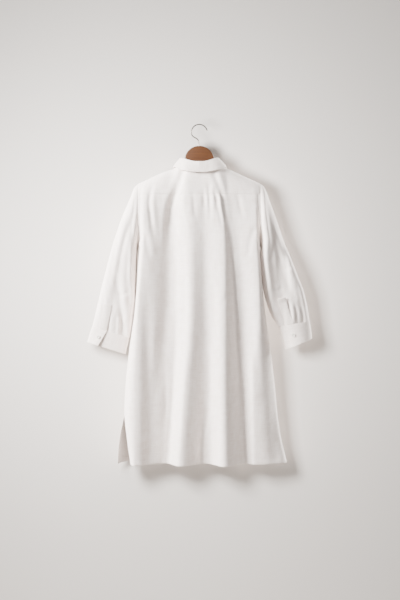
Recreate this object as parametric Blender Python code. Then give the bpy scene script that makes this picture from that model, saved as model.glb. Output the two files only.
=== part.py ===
"""A linen shirt dress with long sleeves and side vents, hung on a wooden clothes hanger.

Frame: the origin is the inner top of the hanger's hook, where it rests on a rail. +Z is up.
The back of the dress faces -Y and its buttoned front faces +Y, so the wearer's right is at +X.
Tables and sizes are in millimetres. A "drop" is a distance down from the origin, and "out" is a
distance from the hanger's plane towards the side that a panel faces.
"""

import functools
import math

import bmesh
import bpy
from mathutils import Vector

MM = 0.001

# Cloth and gaps
CLOTH = 1.6
STIFFENED = 2.2
SEAM_GAP = 0.3
HALF_GAP = SEAM_GAP / 2

# Heights of the dress
YOKE_SEAM_DROP = 238.5
ARMHOLE_MID_DROP = 305.0
UNDERARM_DROP = 411.2
VENT_TOP_DROP = 970.0
BACK_HEM_DROP = 1142.0
FRONT_HEM_DROP = 1150.0

# Shoulders, armholes and neck
SHOULDER_REACH = 204.0
SHOULDER_PEAK_DROP = 104.4
SHOULDER_SLOPE = 0.454
SHOULDER_ROUND = 40.0
ARMHOLE_HALF_DEPTH = 42.0
NECK_HALF_WIDTH = 78.0
NECK_BACK_TURN = 0.44
NECK_FRONT_TURN = -0.711
SHOULDER_SEAM_TURN = -0.06
SHOULDER_SEAM_HALF_TURN = 0.003
BACK_NECK_COLUMN = 92.0
FRONT_NECK_COLUMN = 100.0

# Front band and buttons
BAND_EDGE = 6.0
BAND_SEWN_EDGE = 6.13
HALF_GAP_SHARE = 0.008
BUTTON_DIAMETER = 11.5
BUTTON_THICKNESS = 2.6
FIRST_BUTTON_DROP = 275.0
BUTTON_SPACING = 95.0
FRONT_BUTTONS = 9

# Cuffs and sleeve plackets
CUFF_HEIGHT_STEPS = 2
CUFF_SEAM_SHARE = 0.005
SLEEVE_SEAM_SHARE = 0.008
CUFF_SPIRAL = 1.4
CUFF_OVERLAP = 24.0

# Collar
STAND_SPIRAL = 1.5
STAND_OVERLAP_TURN = 11.0
LEAF_FRONT_TURN = 172.0
LEAF_SIDE_SHIFT = 2.0

# Hanger
WOOD_THICKNESS = 13.0
WOOD_TOP_DROP = 71.0
WOOD_HUMP_RADIUS = 51.0
WOOD_REACH = 196.0
WOOD_SEAT_GAP = 1.0
WOOD_EDGE_ROUND = 3.0
WIRE_RADIUS = 1.9
HOOK_RADIUS = 27.0
STEM_X = -2.0
STEM_IN_WOOD = 22.0
HOOK_END_TURN = 13.0
HOOK_BEND_TURN = 196.0

LEVELS = (YOKE_SEAM_DROP, 386.0, 634.0, 881.0, BACK_HEM_DROP)

SLOPE_ROUND = 0.3

# Crests and hollows of the back, left to right: x and distance out at each of LEVELS.
BACK_FOLDS = (
    # name            x at each level                    out at each level
    ("left crest", (-181, -178, -192, -208, -212), (46, 50, 54, 57, 55)),
    ("left hollow", (-98, -92, -88, -96, -118), (48, 40, 34, 29, 25)),
    ("mid-left crest", (-36, -28, -26, -46, -64), (55, 60, 62, 64, 64)),
    ("centre hollow", (12, 19, 21, 26, 36), (52, 50, 44, 35, 28)),
    ("mid-right crest", (70, 81, 82, 80, 84), (55, 60, 65, 69, 71)),
    ("right hollow", (114, 120, 134, 144, 158), (47, 42, 34, 28, 23)),
    ("right crest", (181, 185, 192, 188, 192), (46, 52, 55, 51, 47)),
)

# Crests and hollows of the front, in the order of rising x. The band lies between its two edges.
FRONT_FOLDS = (
    ("left crest", (-183, -183, -190, -206, -232), (46, 49, 50, 52, 52)),
    ("left hollow", (-126, -130, -138, -150, -172), (46, 40, 36, 32, 29)),
    ("left mid crest", (-76, -80, -84, -92, -104), (51, 53, 56, 60, 62)),
    ("left inner hollow", (-36, -38, -42, -46, -52), (51, 48, 46, 44, 40)),
    ("band left edge", (-17, -17, -17, -17, -17), (51, 51, 52, 53, 52)),
    ("band right edge", (17, 17, 17, 17, 17), (51, 51, 52, 53, 52)),
    ("right inner hollow", (36, 36, 40, 44, 50), (51, 49, 46, 43, 39)),
    ("right mid crest", (78, 74, 80, 88, 98), (51, 54, 57, 60, 61)),
    ("right hollow", (128, 124, 134, 152, 170), (46, 41, 36, 33, 30)),
    ("right crest", (183, 184, 194, 212, 240), (46, 49, 51, 52, 52)),
)

# The side edges below the underarm, and how a panel's own edge leaves them at the vents.
SIDE_DROPS = (UNDERARM_DROP, 470.0, 552.0, 634.0, 759.0, 881.0, VENT_TOP_DROP, 1060.0, BACK_HEM_DROP)
SIDE_EDGES = {
    ("back", "left"): (-202.0, -206.0, -210.5, -217.5, -235.5, -248.5, -252.5, -244.0, -232.0),
    ("back", "right"): (202.0, 207.0, 213.5, 222.0, 240.0, 255.0, 264.0, 276.0, 295.0),
    ("front", "left"): (-202.0, -206.0, -210.5, -217.5, -235.5, -248.5, -252.5, -270.0, -277.0),
    ("front", "right"): (202.0, 207.0, 213.5, 222.0, 240.0, 255.0, 264.0, 272.0, 284.0),
}

# Sleeve sections from armhole to cuff seam: outer and inner ends, and half the depth between faces.
SLEEVE_COLUMNS = ("outer_x", "outer_drop", "inner_x", "inner_drop", "half_depth")
SLEEVES = {
    "right": (
        (204.15, 198.9, 204.15, 411.2, 42.0),
        (219.0, 212.0, 207.5, 413.5, 46.0),
        (241.0, 268.0, 210.5, 418.0, 50.0),
        (274.0, 362.0, 213.0, 428.0, 50.0),
        (303.0, 445.0, 216.0, 458.0, 46.0),
        (331.0, 512.0, 220.5, 524.0, 42.0),
        (352.0, 566.0, 228.5, 585.0, 38.0),
        (365.0, 616.0, 243.0, 641.0, 34.0),
        (372.5, 663.5, 266.5, 681.0, 31.0),
    ),
    "left": (
        (204.15, 198.9, 204.15, 411.2, 42.0),
        (217.0, 210.0, 207.5, 413.5, 46.0),
        (236.0, 256.0, 210.0, 418.0, 50.0),
        (268.0, 332.0, 212.0, 428.0, 50.0),
        (298.0, 427.0, 214.0, 458.0, 46.0),
        (320.0, 510.0, 216.0, 528.0, 39.0),
        (340.0, 593.0, 221.0, 614.0, 30.0),
        (351.0, 640.0, 228.0, 668.0, 22.0),
        (361.0, 681.0, 238.0, 720.0, 14.0),
    ),
}

# Lower edge of each cuff, with the turn of its opening at the seam and at the edge.
CUFF_COLUMNS = ("outer_x", "outer_drop", "inner_x", "inner_drop", "half_depth", "seam_turn", "edge_turn", "flare")
CUFFS = {
    "right": (380.5, 722.0, 291.0, 759.0, 36.0, 119.0, 119.0, 0.0),
    "left": (378.0, 735.0, 250.0, 776.0, 13.0, 79.0, 66.0, 5.0),
}

# Long folds of a sleeve: turn in degrees from its outer edge, past its back, and height.
SLEEVE_FOLDS = (
    ("back outer crest", 52.0, 26.0, 6.0),
    ("back hollow", 104.0, 24.0, -9.0),
    ("back inner crest", 146.0, 22.0, 5.0),
    ("front inner crest", 208.0, 22.0, 4.0),
    ("front hollow", 256.0, 26.0, -8.0),
    ("front outer crest", 310.0, 26.0, 5.0),
)

# Small gathers of the back below the yoke seam: x, half width and height.
YOKE_GATHERS = (
    ("far left gather", -52.0, 9.0, 2.0),
    ("left gather", -24.0, 9.0, 1.6),
    ("centre gather", 4.0, 8.0, 1.4),
    ("right gather", 28.0, 7.0, 2.2),
    ("far right gather", 47.0, 7.0, 2.4),
    ("edge gather", 68.0, 7.0, 2.6),
)
GATHER_LENGTH = 120.0

# Collar stand: height, and how far its upper edge leans in over the neck.
STAND_SHAPE = (
    # turn, height, lean
    (0.0, 27.0, 2.0),
    (90.0, 23.0, 6.0),
    (135.0, 23.0, 3.5),
    (191.0, 25.0, 2.0),
)

# Collar leaf: turn at the fold, turn at the free edge, reach outwards and drop below the neck seam.
LEAF_EDGE = (
    # fold_turn, edge_turn, reach, drop
    (0.0, 0.0, 9.5, 8.5),
    (20.0, 20.0, 11.0, 12.5),
    (45.0, 45.0, 14.0, 20.0),
    (70.0, 70.0, 15.0, 5.0),
    (90.0, 89.0, 11.5, -2.5),
    (108.0, 105.0, 15.0, 3.0),
    (125.0, 118.0, 18.0, 17.0),
    (150.0, 134.0, 20.0, 40.0),
    (LEAF_FRONT_TURN, 143.0, 22.0, 58.0),
)
LEAF_ROLL = 3.2

# The wire's bend from the loop into the stem: x and drop.
HOOK_BEND = ((-23.3, 36.6), (-18.6, 40.6), (-13.0, 43.8), (-7.8, 47.0), (-4.0, 51.4), (-2.3, 56.5), (STEM_X, 62.0))

# Sampling of the cloth pieces
BACK_COLUMNS = (3, 5, 5, 6, 7, 4, 4, 3)
YOKE_COLUMNS = (3, 4, 4, 4, 4, 4, 4, 3)
YOKE_ROWS = (0.0, 0.2, 0.4, 0.58, 0.72, 0.82, 0.89, 0.95, 1.0)
FRONT_COLUMNS = (3, 4, 3, 2, 2, 2, 2, 2, 3, 4, 3)
FRONT_TOP_ROWS = (0.0, 0.08, 0.2, 0.36, 0.56, 0.78)
BODY_ROW_DROPS = (346, 384, 402, 418, 452, 510, 580, 660, 740, 820, 900, 970, 1030, 1090)
BACK_TOP_ROWS = (252, 270, 302)
SLEEVE_SEGMENTS = 28
SLEEVE_ROWS = 13
SLEEVE_PLACKET_ROWS = 3
SLEEVE_PLACKET_SEGMENTS = 2
CUFF_SEGMENTS = 27

LINEN = "white linen"
FUSED_LINEN = "white linen, double"
SHELL = "pearl button"
BEECH = "varnished beech"
STEEL = "chromed steel wire"


class Line:
    """A smooth line through stations that never swings past them."""

    def __init__(self, stations, values):
        self.s = [float(v) for v in stations]
        self.v = [float(v) for v in values]
        steps = [(self.v[i + 1] - self.v[i]) / (self.s[i + 1] - self.s[i]) for i in range(len(self.s) - 1)]
        inner = [0.0 if a * b <= 0 else 2 * a * b / (a + b) for a, b in zip(steps, steps[1:])]
        self.m = [steps[0], *inner, steps[-1]]

    def __call__(self, at):
        if at <= self.s[0]:
            return self.v[0]
        if at >= self.s[-1]:
            return self.v[-1]
        i = max(k for k in range(len(self.s) - 1) if self.s[k] <= at)
        width = self.s[i + 1] - self.s[i]
        t = (at - self.s[i]) / width
        a = (1 + 2 * t) * (1 - t) ** 2 * self.v[i] + t * (1 - t) ** 2 * width * self.m[i]
        b = t * t * (3 - 2 * t) * self.v[i + 1] + t * t * (t - 1) * width * self.m[i + 1]
        return a + b


def ease(low, high, at):
    """0 below low, 1 above high and smooth between them."""
    t = min(1.0, max(0.0, (at - low) / (high - low)))
    return t * t * (3 - 2 * t)


def between(a, b, share):
    return a + (b - a) * share


def bump(at, centre, half_width):
    return math.exp(-(((at - centre) / half_width) ** 2))


def turn_bump(at, centre, half_width):
    """A bump on a ring, with all three in degrees."""
    return bump((at - centre + 180) % 360, 180, half_width)


# The body's surface

FOLDS = {
    "back": [(Line(LEVELS, xs), Line(LEVELS, outs)) for _, xs, outs in BACK_FOLDS],
    "front": [(Line(LEVELS, xs), Line(LEVELS, outs)) for _, xs, outs in FRONT_FOLDS],
}
EDGES = {key: Line(SIDE_DROPS, xs) for key, xs in SIDE_EDGES.items()}
HEM_DROP = {"back": BACK_HEM_DROP, "front": FRONT_HEM_DROP}
FACING = {"back": -1.0, "front": 1.0}


def shoulder_drop(x):
    return SHOULDER_PEAK_DROP + SHOULDER_SLOPE * math.hypot(x, SHOULDER_ROUND)


def armhole_out(drop):
    """Distance out of the armhole's seam, which is an oval in a plane across X."""
    if drop >= UNDERARM_DROP:
        return 0.0
    half_height = UNDERARM_DROP - ARMHOLE_MID_DROP
    if drop < ARMHOLE_MID_DROP:
        return ARMHOLE_HALF_DEPTH
    return ARMHOLE_HALF_DEPTH * math.sqrt(max(0.0, 1 - ((drop - ARMHOLE_MID_DROP) / half_height) ** 2))


@functools.lru_cache(maxsize=None)
def section(side, drop):
    """Crests, hollows and edges of a panel at this drop, as (x, out) from low to high x."""
    knots = [(x(drop), out(drop)) for x, out in FOLDS[side]]
    if drop < UNDERARM_DROP:
        left = (-(SHOULDER_REACH - HALF_GAP), armhole_out(drop))
        right = (SHOULDER_REACH - HALF_GAP, armhole_out(drop))
    else:
        left = (EDGES[side, "left"](drop), HALF_GAP)
        right = (EDGES[side, "right"](drop), HALF_GAP)
    return [left, *knots, right]


def rounded(drop):
    """How far a panel's side edge turns round to the other panel: not at the armhole, fully below."""
    return ease(ARMHOLE_MID_DROP + 80, UNDERARM_DROP, drop)


def slope(share):
    """Blend between a crest and a hollow: an even slope with rounded ends."""
    if share > 0.5:
        return 1 - slope(1 - share)
    if share < SLOPE_ROUND:
        return share * share / (2 * SLOPE_ROUND * (1 - SLOPE_ROUND))
    return (share - SLOPE_ROUND / 2) / (1 - SLOPE_ROUND)


def edge_curve(inner, edge, share, turn):
    """From the last crest (share 0) to the side edge (share 1)."""
    quarter = share * math.pi / 2
    along = between(share, math.sin(quarter), turn)
    down = between((1 - math.cos(math.pi * share)) / 2, 1 - math.cos(quarter), turn)
    return between(inner[0], edge[0], along), between(inner[1], edge[1], down)


def across(side, u, drop):
    """(x, out) at column coordinate u, which is whole at each crest, hollow and edge."""
    knots = section(side, drop)
    last = len(knots) - 2
    i = min(last, max(0, int(u)))
    share = u - i
    if i == 0:
        return edge_curve(knots[1], knots[0], 1 - share, rounded(drop))
    if i == last:
        return edge_curve(knots[last], knots[last + 1], share, rounded(drop))
    a, b = knots[i], knots[i + 1]
    return between(a[0], b[0], share), between(a[1], b[1], slope(share))


def out_at(side, x, drop):
    """Distance out at x, for the part of a panel above the middle of the armhole."""
    knots = section(side, drop)
    i = max([k for k in range(len(knots) - 1) if knots[k][0] <= x], default=0)
    a, b = knots[i], knots[i + 1]
    share = min(1.0, max(0.0, (x - a[0]) / (b[0] - a[0])))
    return between(a[1], b[1], slope(share))


def spread(x):
    """How boxy the cloth is over the shoulder: the collar holds it open near the neck."""
    return 0.5 + 0.5 * min(1.0, (x / SHOULDER_REACH) ** 2)


def over_shoulder(x, turn):
    """Point above the armhole's middle. Turn is 1 there at the back, 0 on top and -1 at the front."""
    angle = turn * math.pi / 2
    drop = ARMHOLE_MID_DROP - (ARMHOLE_MID_DROP - shoulder_drop(x)) * math.cos(angle)
    side = "back" if turn >= 0 else "front"
    out = out_at(side, x, drop) * abs(math.sin(angle)) ** spread(x)
    return Vector((x, FACING[side] * (out + gathers(side, x, drop)), -drop))


def turn_at(x, drop):
    """The turn, without its sign, at which the cloth over the shoulder reaches this drop."""
    share = (ARMHOLE_MID_DROP - drop) / (ARMHOLE_MID_DROP - shoulder_drop(x))
    return math.acos(min(1.0, max(-1.0, share))) / (math.pi / 2)


def gathers(side, x, drop):
    """Small gathers that start at the yoke seam and fade out below it."""
    if side == "front" or drop < YOKE_SEAM_DROP:
        return 0.0
    start = YOKE_SEAM_DROP + 14
    fade = ease(YOKE_SEAM_DROP, start, drop) * ease(YOKE_SEAM_DROP + GATHER_LENGTH, start, drop)
    return fade * sum(height * bump(x, centre, width) for _, centre, width, height in YOKE_GATHERS)


def panel_point(side, u, drop):
    """Point of a back or front panel below the yoke."""
    x, out = across(side, u, drop)
    if drop < ARMHOLE_MID_DROP:
        return over_shoulder(x, -FACING[side] * turn_at(x, drop))
    return Vector((x, FACING[side] * (out + gathers(side, x, drop)), -drop))


def neck_turn(angle):
    """(x, turn over the shoulder) of the neck seam, with the angle from centre back in degrees."""
    a = math.radians(angle)
    if abs(angle) <= 90:
        turn = NECK_BACK_TURN * math.cos(a) ** 1.6
    else:
        turn = NECK_FRONT_TURN * abs(math.cos(a)) ** 1.2
    return NECK_HALF_WIDTH * math.sin(a), turn


SHOULDER_SEAM_ANGLE = 180 - math.degrees(math.acos((SHOULDER_SEAM_TURN / NECK_FRONT_TURN) ** (1 / 1.2)))


def upper_edge(x_below, neck_column, centre_angle):
    """(x, turn) of the edge above a column: the neck seam near the middle, else the shoulder seam."""
    sign = -1.0 if x_below < 0 else 1.0
    reach = abs(x_below)
    if reach <= neck_column:
        x, turn = neck_turn(between(centre_angle, SHOULDER_SEAM_ANGLE, reach / neck_column))
        return sign * x, turn
    x_neck, turn = neck_turn(SHOULDER_SEAM_ANGLE)
    edge = SHOULDER_REACH - HALF_GAP
    return sign * between(x_neck, edge, (reach - neck_column) / (edge - neck_column)), turn


def fan_point(low, high, share):
    """Point between two (x, turn) ends over the shoulder, with its steps even in distance out."""
    x = between(low[0], high[0], share)
    signed = [math.copysign(abs(turn) ** spread(end), turn) for end, turn in (low, high)]
    even_turn = between(*signed, share)
    return over_shoulder(x, math.copysign(abs(even_turn) ** (1 / spread(x)), even_turn))


def yoke_point(u, share):
    """Point of the back yoke: share 0 is at its seam with the back and 1 at its upper edge."""
    x_seam = across("back", u, YOKE_SEAM_DROP)[0]
    x_top, turn_top = upper_edge(x_seam, BACK_NECK_COLUMN, 0.0)
    seam = (x_seam, turn_at(x_seam, YOKE_SEAM_DROP - SEAM_GAP))
    return fan_point(seam, (x_top, turn_top + SHOULDER_SEAM_HALF_TURN), share)


def front_point(u, row):
    """Point of the fronts: row 0 is at the neck and shoulder seams, 1 at the armhole's middle, 2 at the hem."""
    if row > 1:
        return panel_point("front", u, between(ARMHOLE_MID_DROP, FRONT_HEM_DROP, row - 1))
    x_mid = across("front", u, ARMHOLE_MID_DROP)[0]
    x_top, turn_top = upper_edge(x_mid, FRONT_NECK_COLUMN, 180.0)
    return fan_point((x_top, turn_top - SHOULDER_SEAM_HALF_TURN), (x_mid, -1.0), row)


# The sleeves' surface

SLEEVE_LINES = {
    hand: {
        column: Line(range(len(rows)), [row[k] for row in rows]) for k, column in enumerate(SLEEVE_COLUMNS)
    }
    for hand, rows in SLEEVES.items()
}
LAST_SLEEVE_ROW = len(SLEEVES["left"]) - 1
HAND = {"left": -1.0, "right": 1.0}


def ring_point(hand, outer, inner, half_depth, turn, lift=0.0):
    """Point of an oval between its outer and inner ends. Turn is 0 at the outer end and 90 at the back."""
    a = math.radians(turn)
    centre = (outer + inner) / 2
    point = centre + (outer - inner) / 2 * math.cos(a)
    point.y -= half_depth * math.sin(a)
    width = (outer - inner).length / 2
    away = (outer - inner).normalized() * math.cos(a) * half_depth + Vector((0, -math.sin(a) * width, 0))
    point += away.normalized() * lift
    return Vector((HAND[hand] * point.x, point.y, point.z))


def sleeve_point(hand, turn, row):
    """Point of a sleeve: row runs from 0 at the armhole to its last section at the cuff seam."""
    line = SLEEVE_LINES[hand]
    outer = Vector((line["outer_x"](row), 0.0, -line["outer_drop"](row)))
    inner = Vector((line["inner_x"](row), 0.0, -line["inner_drop"](row)))
    fade = ease(0.6, 3.0, row) * between(1.0, 0.35, ease(LAST_SLEEVE_ROW - 1.2, LAST_SLEEVE_ROW, row))
    lift = fade * sum(height * turn_bump(turn, centre, width) for _, centre, width, height in SLEEVE_FOLDS)
    return ring_point(hand, outer, inner, line["half_depth"](row), turn, lift)


def cuff_ends(hand, share):
    """Outer end, inner end, half depth and opening turn of a cuff. Share is 0 at the seam, 1 at its edge."""
    seam = dict(zip(SLEEVE_COLUMNS, SLEEVES[hand][-1]))
    edge = dict(zip(CUFF_COLUMNS, CUFFS[hand]))
    outer = Vector((between(seam["outer_x"], edge["outer_x"], share), 0.0, -between(seam["outer_drop"], edge["outer_drop"], share)))
    inner = Vector((between(seam["inner_x"], edge["inner_x"], share), 0.0, -between(seam["inner_drop"], edge["inner_drop"], share)))
    half_depth = between(seam["half_depth"], edge["half_depth"], share)
    return outer, inner, half_depth, between(edge["seam_turn"], edge["edge_turn"], share), edge["flare"] * share


def cuff_point(hand, along, share):
    """Point of a cuff band, which goes once round and overlaps itself. Along is 0 inside and 1 outside."""
    outer, inner, half_depth, opening, flare = cuff_ends(hand, share)
    overlap_turn = math.degrees(CUFF_OVERLAP / ((outer - inner).length / 2))
    turn = between(opening - overlap_turn, opening + 360, along)
    lift = between(-CUFF_SPIRAL, CUFF_SPIRAL, along) + flare * ease(0.86, 1.0, along) ** 2
    return ring_point(hand, outer, inner, half_depth, turn, lift)


# The collar's surface


def neck_point(angle):
    x, turn = neck_turn(angle)
    return over_shoulder(x, turn)


def neck_outwards(angle):
    """Level direction away from the neck's middle, square to the neck seam."""
    along = neck_point(min(180.0, angle + 1.5)) - neck_point(max(-180.0, angle - 1.5))
    if abs(angle) > 176:
        return Vector((0, 1, 0))
    out = Vector((along.y, -along.x, 0)).normalized()
    centre = Vector((0, 4 * MM, 0))
    return out if out.dot(neck_point(angle) - centre) > 0 else -out


def wrapped(angle):
    """The neck goes round once, and the stand's ends pass each other at centre front."""
    return (angle + 180) % 360 - 180


STAND_HEIGHT = Line([row[0] for row in STAND_SHAPE], [row[1] for row in STAND_SHAPE])
STAND_LEAN = Line([row[0] for row in STAND_SHAPE], [row[2] for row in STAND_SHAPE])


def stand_point(angle, share):
    """Point of the collar stand: share 0 is at the neck seam and 1 at its upper edge."""
    seam = neck_point(wrapped(angle)) + Vector((0, 0, CLOTH / 2 + SEAM_GAP + 0.1))
    out = neck_outwards(wrapped(angle))
    offset = STAND_SPIRAL * angle / 180 - STAND_LEAN(abs(angle)) * share
    return seam + out * offset + Vector((0, 0, STAND_HEIGHT(abs(angle)) * share))


LEAF_LINES = {
    name: Line([row[0] for row in LEAF_EDGE], [row[k] for row in LEAF_EDGE])
    for k, name in enumerate(("fold_turn", "edge_turn", "reach", "drop"))
}


def leaf_point(angle, share):
    """Point of the collar leaf: it rises from the stand's upper edge, rolls over and falls to its free edge."""
    fold = abs(angle)
    top = stand_point(angle, 1.0) + Vector((0, 0, SEAM_GAP + 0.2))
    out = neck_outwards(angle)
    roll_centre = top + out * LEAF_ROLL + Vector((0, 0, 1.0))
    edge_angle = math.copysign(LEAF_LINES["edge_turn"](fold), angle)
    free = neck_point(edge_angle) + neck_outwards(edge_angle) * LEAF_LINES["reach"](fold)
    free.z -= LEAF_LINES["drop"](fold)
    free.x += LEAF_SIDE_SHIFT * ease(10, 60, fold)
    roll_share = 0.3
    if share < roll_share:
        a = math.pi * (1 - share / roll_share)
        return roll_centre + out * LEAF_ROLL * math.cos(a) + Vector((0, 0, LEAF_ROLL * math.sin(a)))
    start = roll_centre + out * LEAF_ROLL
    fall = (share - roll_share) / (1 - roll_share)
    point = start.lerp(free, fall)
    swell = (free - start).length * 0.06
    return point + out * swell * math.sin(math.pi * fall) * (1 - 0.6 * fall)


# Making the solids


def clear_scene():
    for item in list(bpy.data.objects):
        bpy.data.objects.remove(item, do_unlink=True)


def material(name, colour, roughness, metallic=0.0):
    made = bpy.data.materials.get(name) or bpy.data.materials.new(name)
    made.use_nodes = True
    shader = made.node_tree.nodes["Principled BSDF"]
    shader.inputs["Base Color"].default_value = (*colour, 1.0)
    shader.inputs["Roughness"].default_value = roughness
    shader.inputs["Metallic"].default_value = metallic
    return made


def make_materials():
    material(LINEN, (0.86, 0.84, 0.82), 0.85)
    material(FUSED_LINEN, (0.87, 0.85, 0.83), 0.8)
    material(SHELL, (0.83, 0.80, 0.74), 0.3)
    material(BEECH, (0.36, 0.17, 0.07), 0.42)
    material(STEEL, (0.62, 0.61, 0.60), 0.25, 1.0)


def add_object(name, mesh, material_name):
    made = bpy.data.objects.new(name, mesh)
    bpy.context.scene.collection.objects.link(made)
    if not mesh.materials:
        mesh.materials.append(bpy.data.materials[material_name])
    return made


def normal_of(surface, c, r, limits):
    """Unit normal from tiny steps along both coordinates, one-sided at the limits."""
    c_low, c_high, r_low, r_high = limits
    step = 1e-3
    dc = surface(min(c_high, c + step), r) - surface(max(c_low, c - step), r)
    dr = surface(c, min(r_high, r + step)) - surface(c, max(r_low, r - step))
    return dc.cross(dr).normalized()


def face_outwards(mesh):
    bmesh.ops.recalc_face_normals(mesh, faces=mesh.faces)
    if mesh.calc_volume(signed=True) < 0:
        bmesh.ops.reverse_faces(mesh, faces=mesh.faces)


def wall(name, surface, columns, rows, thickness, material_name, lift=0.0, closed=False, rim=None, flip=False):
    """A wall of even thickness about surface(column, row), moved out by lift.

    A closed wall is a tube. rim(column, row) gives the direction of the thickness where an edge
    meets another piece, and None elsewhere.
    """
    limits = (columns[0], columns[-1], rows[0], rows[-1])
    if closed:
        limits = (-1e9, 1e9, rows[0], rows[-1])
    sign = -1.0 if flip else 1.0
    mesh = bmesh.new()
    layers = ([], [])
    for r in rows:
        line = ([], [])
        for c in columns:
            point = surface(c, r)
            away = (rim and rim(c, r)) or normal_of(surface, c, r, limits) * sign
            for k, half in enumerate((thickness / 2, -thickness / 2)):
                line[k].append(mesh.verts.new((point + away * (lift + half)) * MM))
        for k in (0, 1):
            layers[k].append(line[k])
    across_count = len(columns)
    spans = range(across_count if closed else across_count - 1)
    for i in range(len(rows) - 1):
        for j in spans:
            n = (j + 1) % across_count
            for grid in layers:
                mesh.faces.new((grid[i][j], grid[i][n], grid[i + 1][n], grid[i + 1][j]))
    for i in (0, len(rows) - 1):
        for j in spans:
            n = (j + 1) % across_count
            mesh.faces.new((layers[0][i][j], layers[0][i][n], layers[1][i][n], layers[1][i][j]))
    if not closed:
        for i in range(len(rows) - 1):
            for j in (0, across_count - 1):
                mesh.faces.new((layers[0][i][j], layers[0][i + 1][j], layers[1][i + 1][j], layers[1][i][j]))
    face_outwards(mesh)
    data = bpy.data.meshes.new(name)
    mesh.to_mesh(data)
    mesh.free()
    data.shade_smooth()
    data.set_sharp_from_angle(angle=math.radians(50))
    return add_object(name, data, material_name)


def stations(counts, low=0.0, high=None):
    """Column coordinates with this many steps between whole numbers, kept between low and high."""
    found = [i + k / count for i, count in enumerate(counts) for k in range(count)] + [float(len(counts))]
    high = float(len(counts)) if high is None else high
    inside = [u for u in found if low + 0.02 < u < high - 0.02]
    return [low, *inside, high]


def even(low, high, steps):
    return [between(low, high, k / steps) for k in range(steps + 1)]


def armhole_rim(point):
    """Thickness direction at the armhole's seam, within the seam's own plane."""
    half_height = UNDERARM_DROP - ARMHOLE_MID_DROP
    return Vector((0, point.y / ARMHOLE_HALF_DEPTH**2, (point.z + ARMHOLE_MID_DROP) / half_height**2)).normalized()


def body_rim(surface):
    """Rim direction for a body panel: set by the armhole at its sides and free elsewhere."""

    def direction(c, r):
        point = surface(c, r)
        at_side = abs(abs(point.x) - (SHOULDER_REACH - HALF_GAP)) < 1e-3
        return armhole_rim(point) if at_side and -point.z < UNDERARM_DROP - 1 else None

    return direction


def make_body():
    def back(u, drop):
        return panel_point("back", u, drop)

    rows = [YOKE_SEAM_DROP + HALF_GAP, *BACK_TOP_ROWS, *BODY_ROW_DROPS, BACK_HEM_DROP]
    wall("back", back, stations(BACK_COLUMNS), rows, CLOTH, LINEN, rim=body_rim(back), flip=True)
    wall("yoke", yoke_point, stations(YOKE_COLUMNS), YOKE_ROWS, CLOTH, LINEN, rim=body_rim(yoke_point))

    front_rows = [*FRONT_TOP_ROWS, 1.0] + [
        1 + (drop - ARMHOLE_MID_DROP) / (FRONT_HEM_DROP - ARMHOLE_MID_DROP)
        for drop in (*BODY_ROW_DROPS, FRONT_HEM_DROP)
    ]
    left = stations(FRONT_COLUMNS, 0.0, BAND_EDGE - HALF_GAP_SHARE)
    right = [BAND_EDGE + HALF_GAP_SHARE, BAND_SEWN_EDGE, *stations(FRONT_COLUMNS, BAND_SEWN_EDGE, 11.0)[1:]]
    for name, columns in (("front_left", left), ("front_right", right)):
        wall(name, front_point, columns, front_rows, CLOTH, LINEN, rim=body_rim(front_point))

    columns = [u for u in (*left, *right) if BAND_EDGE - 1 <= u <= BAND_SEWN_EDGE]
    wall("front_band", front_point, columns, front_rows, CLOTH, FUSED_LINEN, lift=CLOTH + SEAM_GAP)


def make_sleeves():
    for hand in ("left", "right"):

        def surface(turn, row, hand=hand):
            return sleeve_point(hand, turn, row)

        def rim(turn, row, hand=hand):
            return armhole_rim(sleeve_point(hand, turn, row)) if row == 0 else None

        opening = dict(zip(CUFF_COLUMNS, CUFFS[hand]))["seam_turn"]
        step = 360.0 / SLEEVE_SEGMENTS
        turns = [opening + step * k for k in range(SLEEVE_SEGMENTS)]
        rows = even(0.0, LAST_SLEEVE_ROW - SLEEVE_SEAM_SHARE, SLEEVE_ROWS)
        flip = hand == "left"
        wall(f"sleeve_{hand}", surface, turns, rows, CLOTH, LINEN, closed=True, rim=rim, flip=flip)

        strip = [opening - step * k for k in range(SLEEVE_PLACKET_SEGMENTS, -1, -1)]
        wall(f"sleeve_placket_{hand}", surface, strip, rows[-1 - SLEEVE_PLACKET_ROWS :], CLOTH, FUSED_LINEN,
             lift=CLOTH + SEAM_GAP, flip=flip)

        def cuff(along, share, hand=hand):
            return cuff_point(hand, along, share)

        shares = even(CUFF_SEAM_SHARE, 1.0, CUFF_HEIGHT_STEPS)
        wall(f"cuff_{hand}", cuff, even(0.0, 1.0, CUFF_SEGMENTS), shares, STIFFENED, FUSED_LINEN, flip=flip)


def neck_stations(low, high, nearest=3.0):
    """Angles round the neck where the panels below have their columns, so that the seams run alike."""
    found = []
    for side, columns, reach, middle, drop in (
        ("back", YOKE_COLUMNS, BACK_NECK_COLUMN, 0.0, YOKE_SEAM_DROP),
        ("front", FRONT_COLUMNS, FRONT_NECK_COLUMN, 180.0, ARMHOLE_MID_DROP),
    ):
        for u in stations(columns):
            x = across(side, u, drop)[0]
            if abs(x) < reach:
                angle = math.copysign(between(middle, SHOULDER_SEAM_ANGLE, abs(x) / reach), x)
                found += [angle, angle - 360, angle + 360]
    found = sorted([*found, SHOULDER_SEAM_ANGLE, -SHOULDER_SEAM_ANGLE])
    kept = [low]
    for angle in found:
        if kept[-1] + nearest < angle < high - nearest:
            kept.append(angle)
    return [*kept, high]


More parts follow.
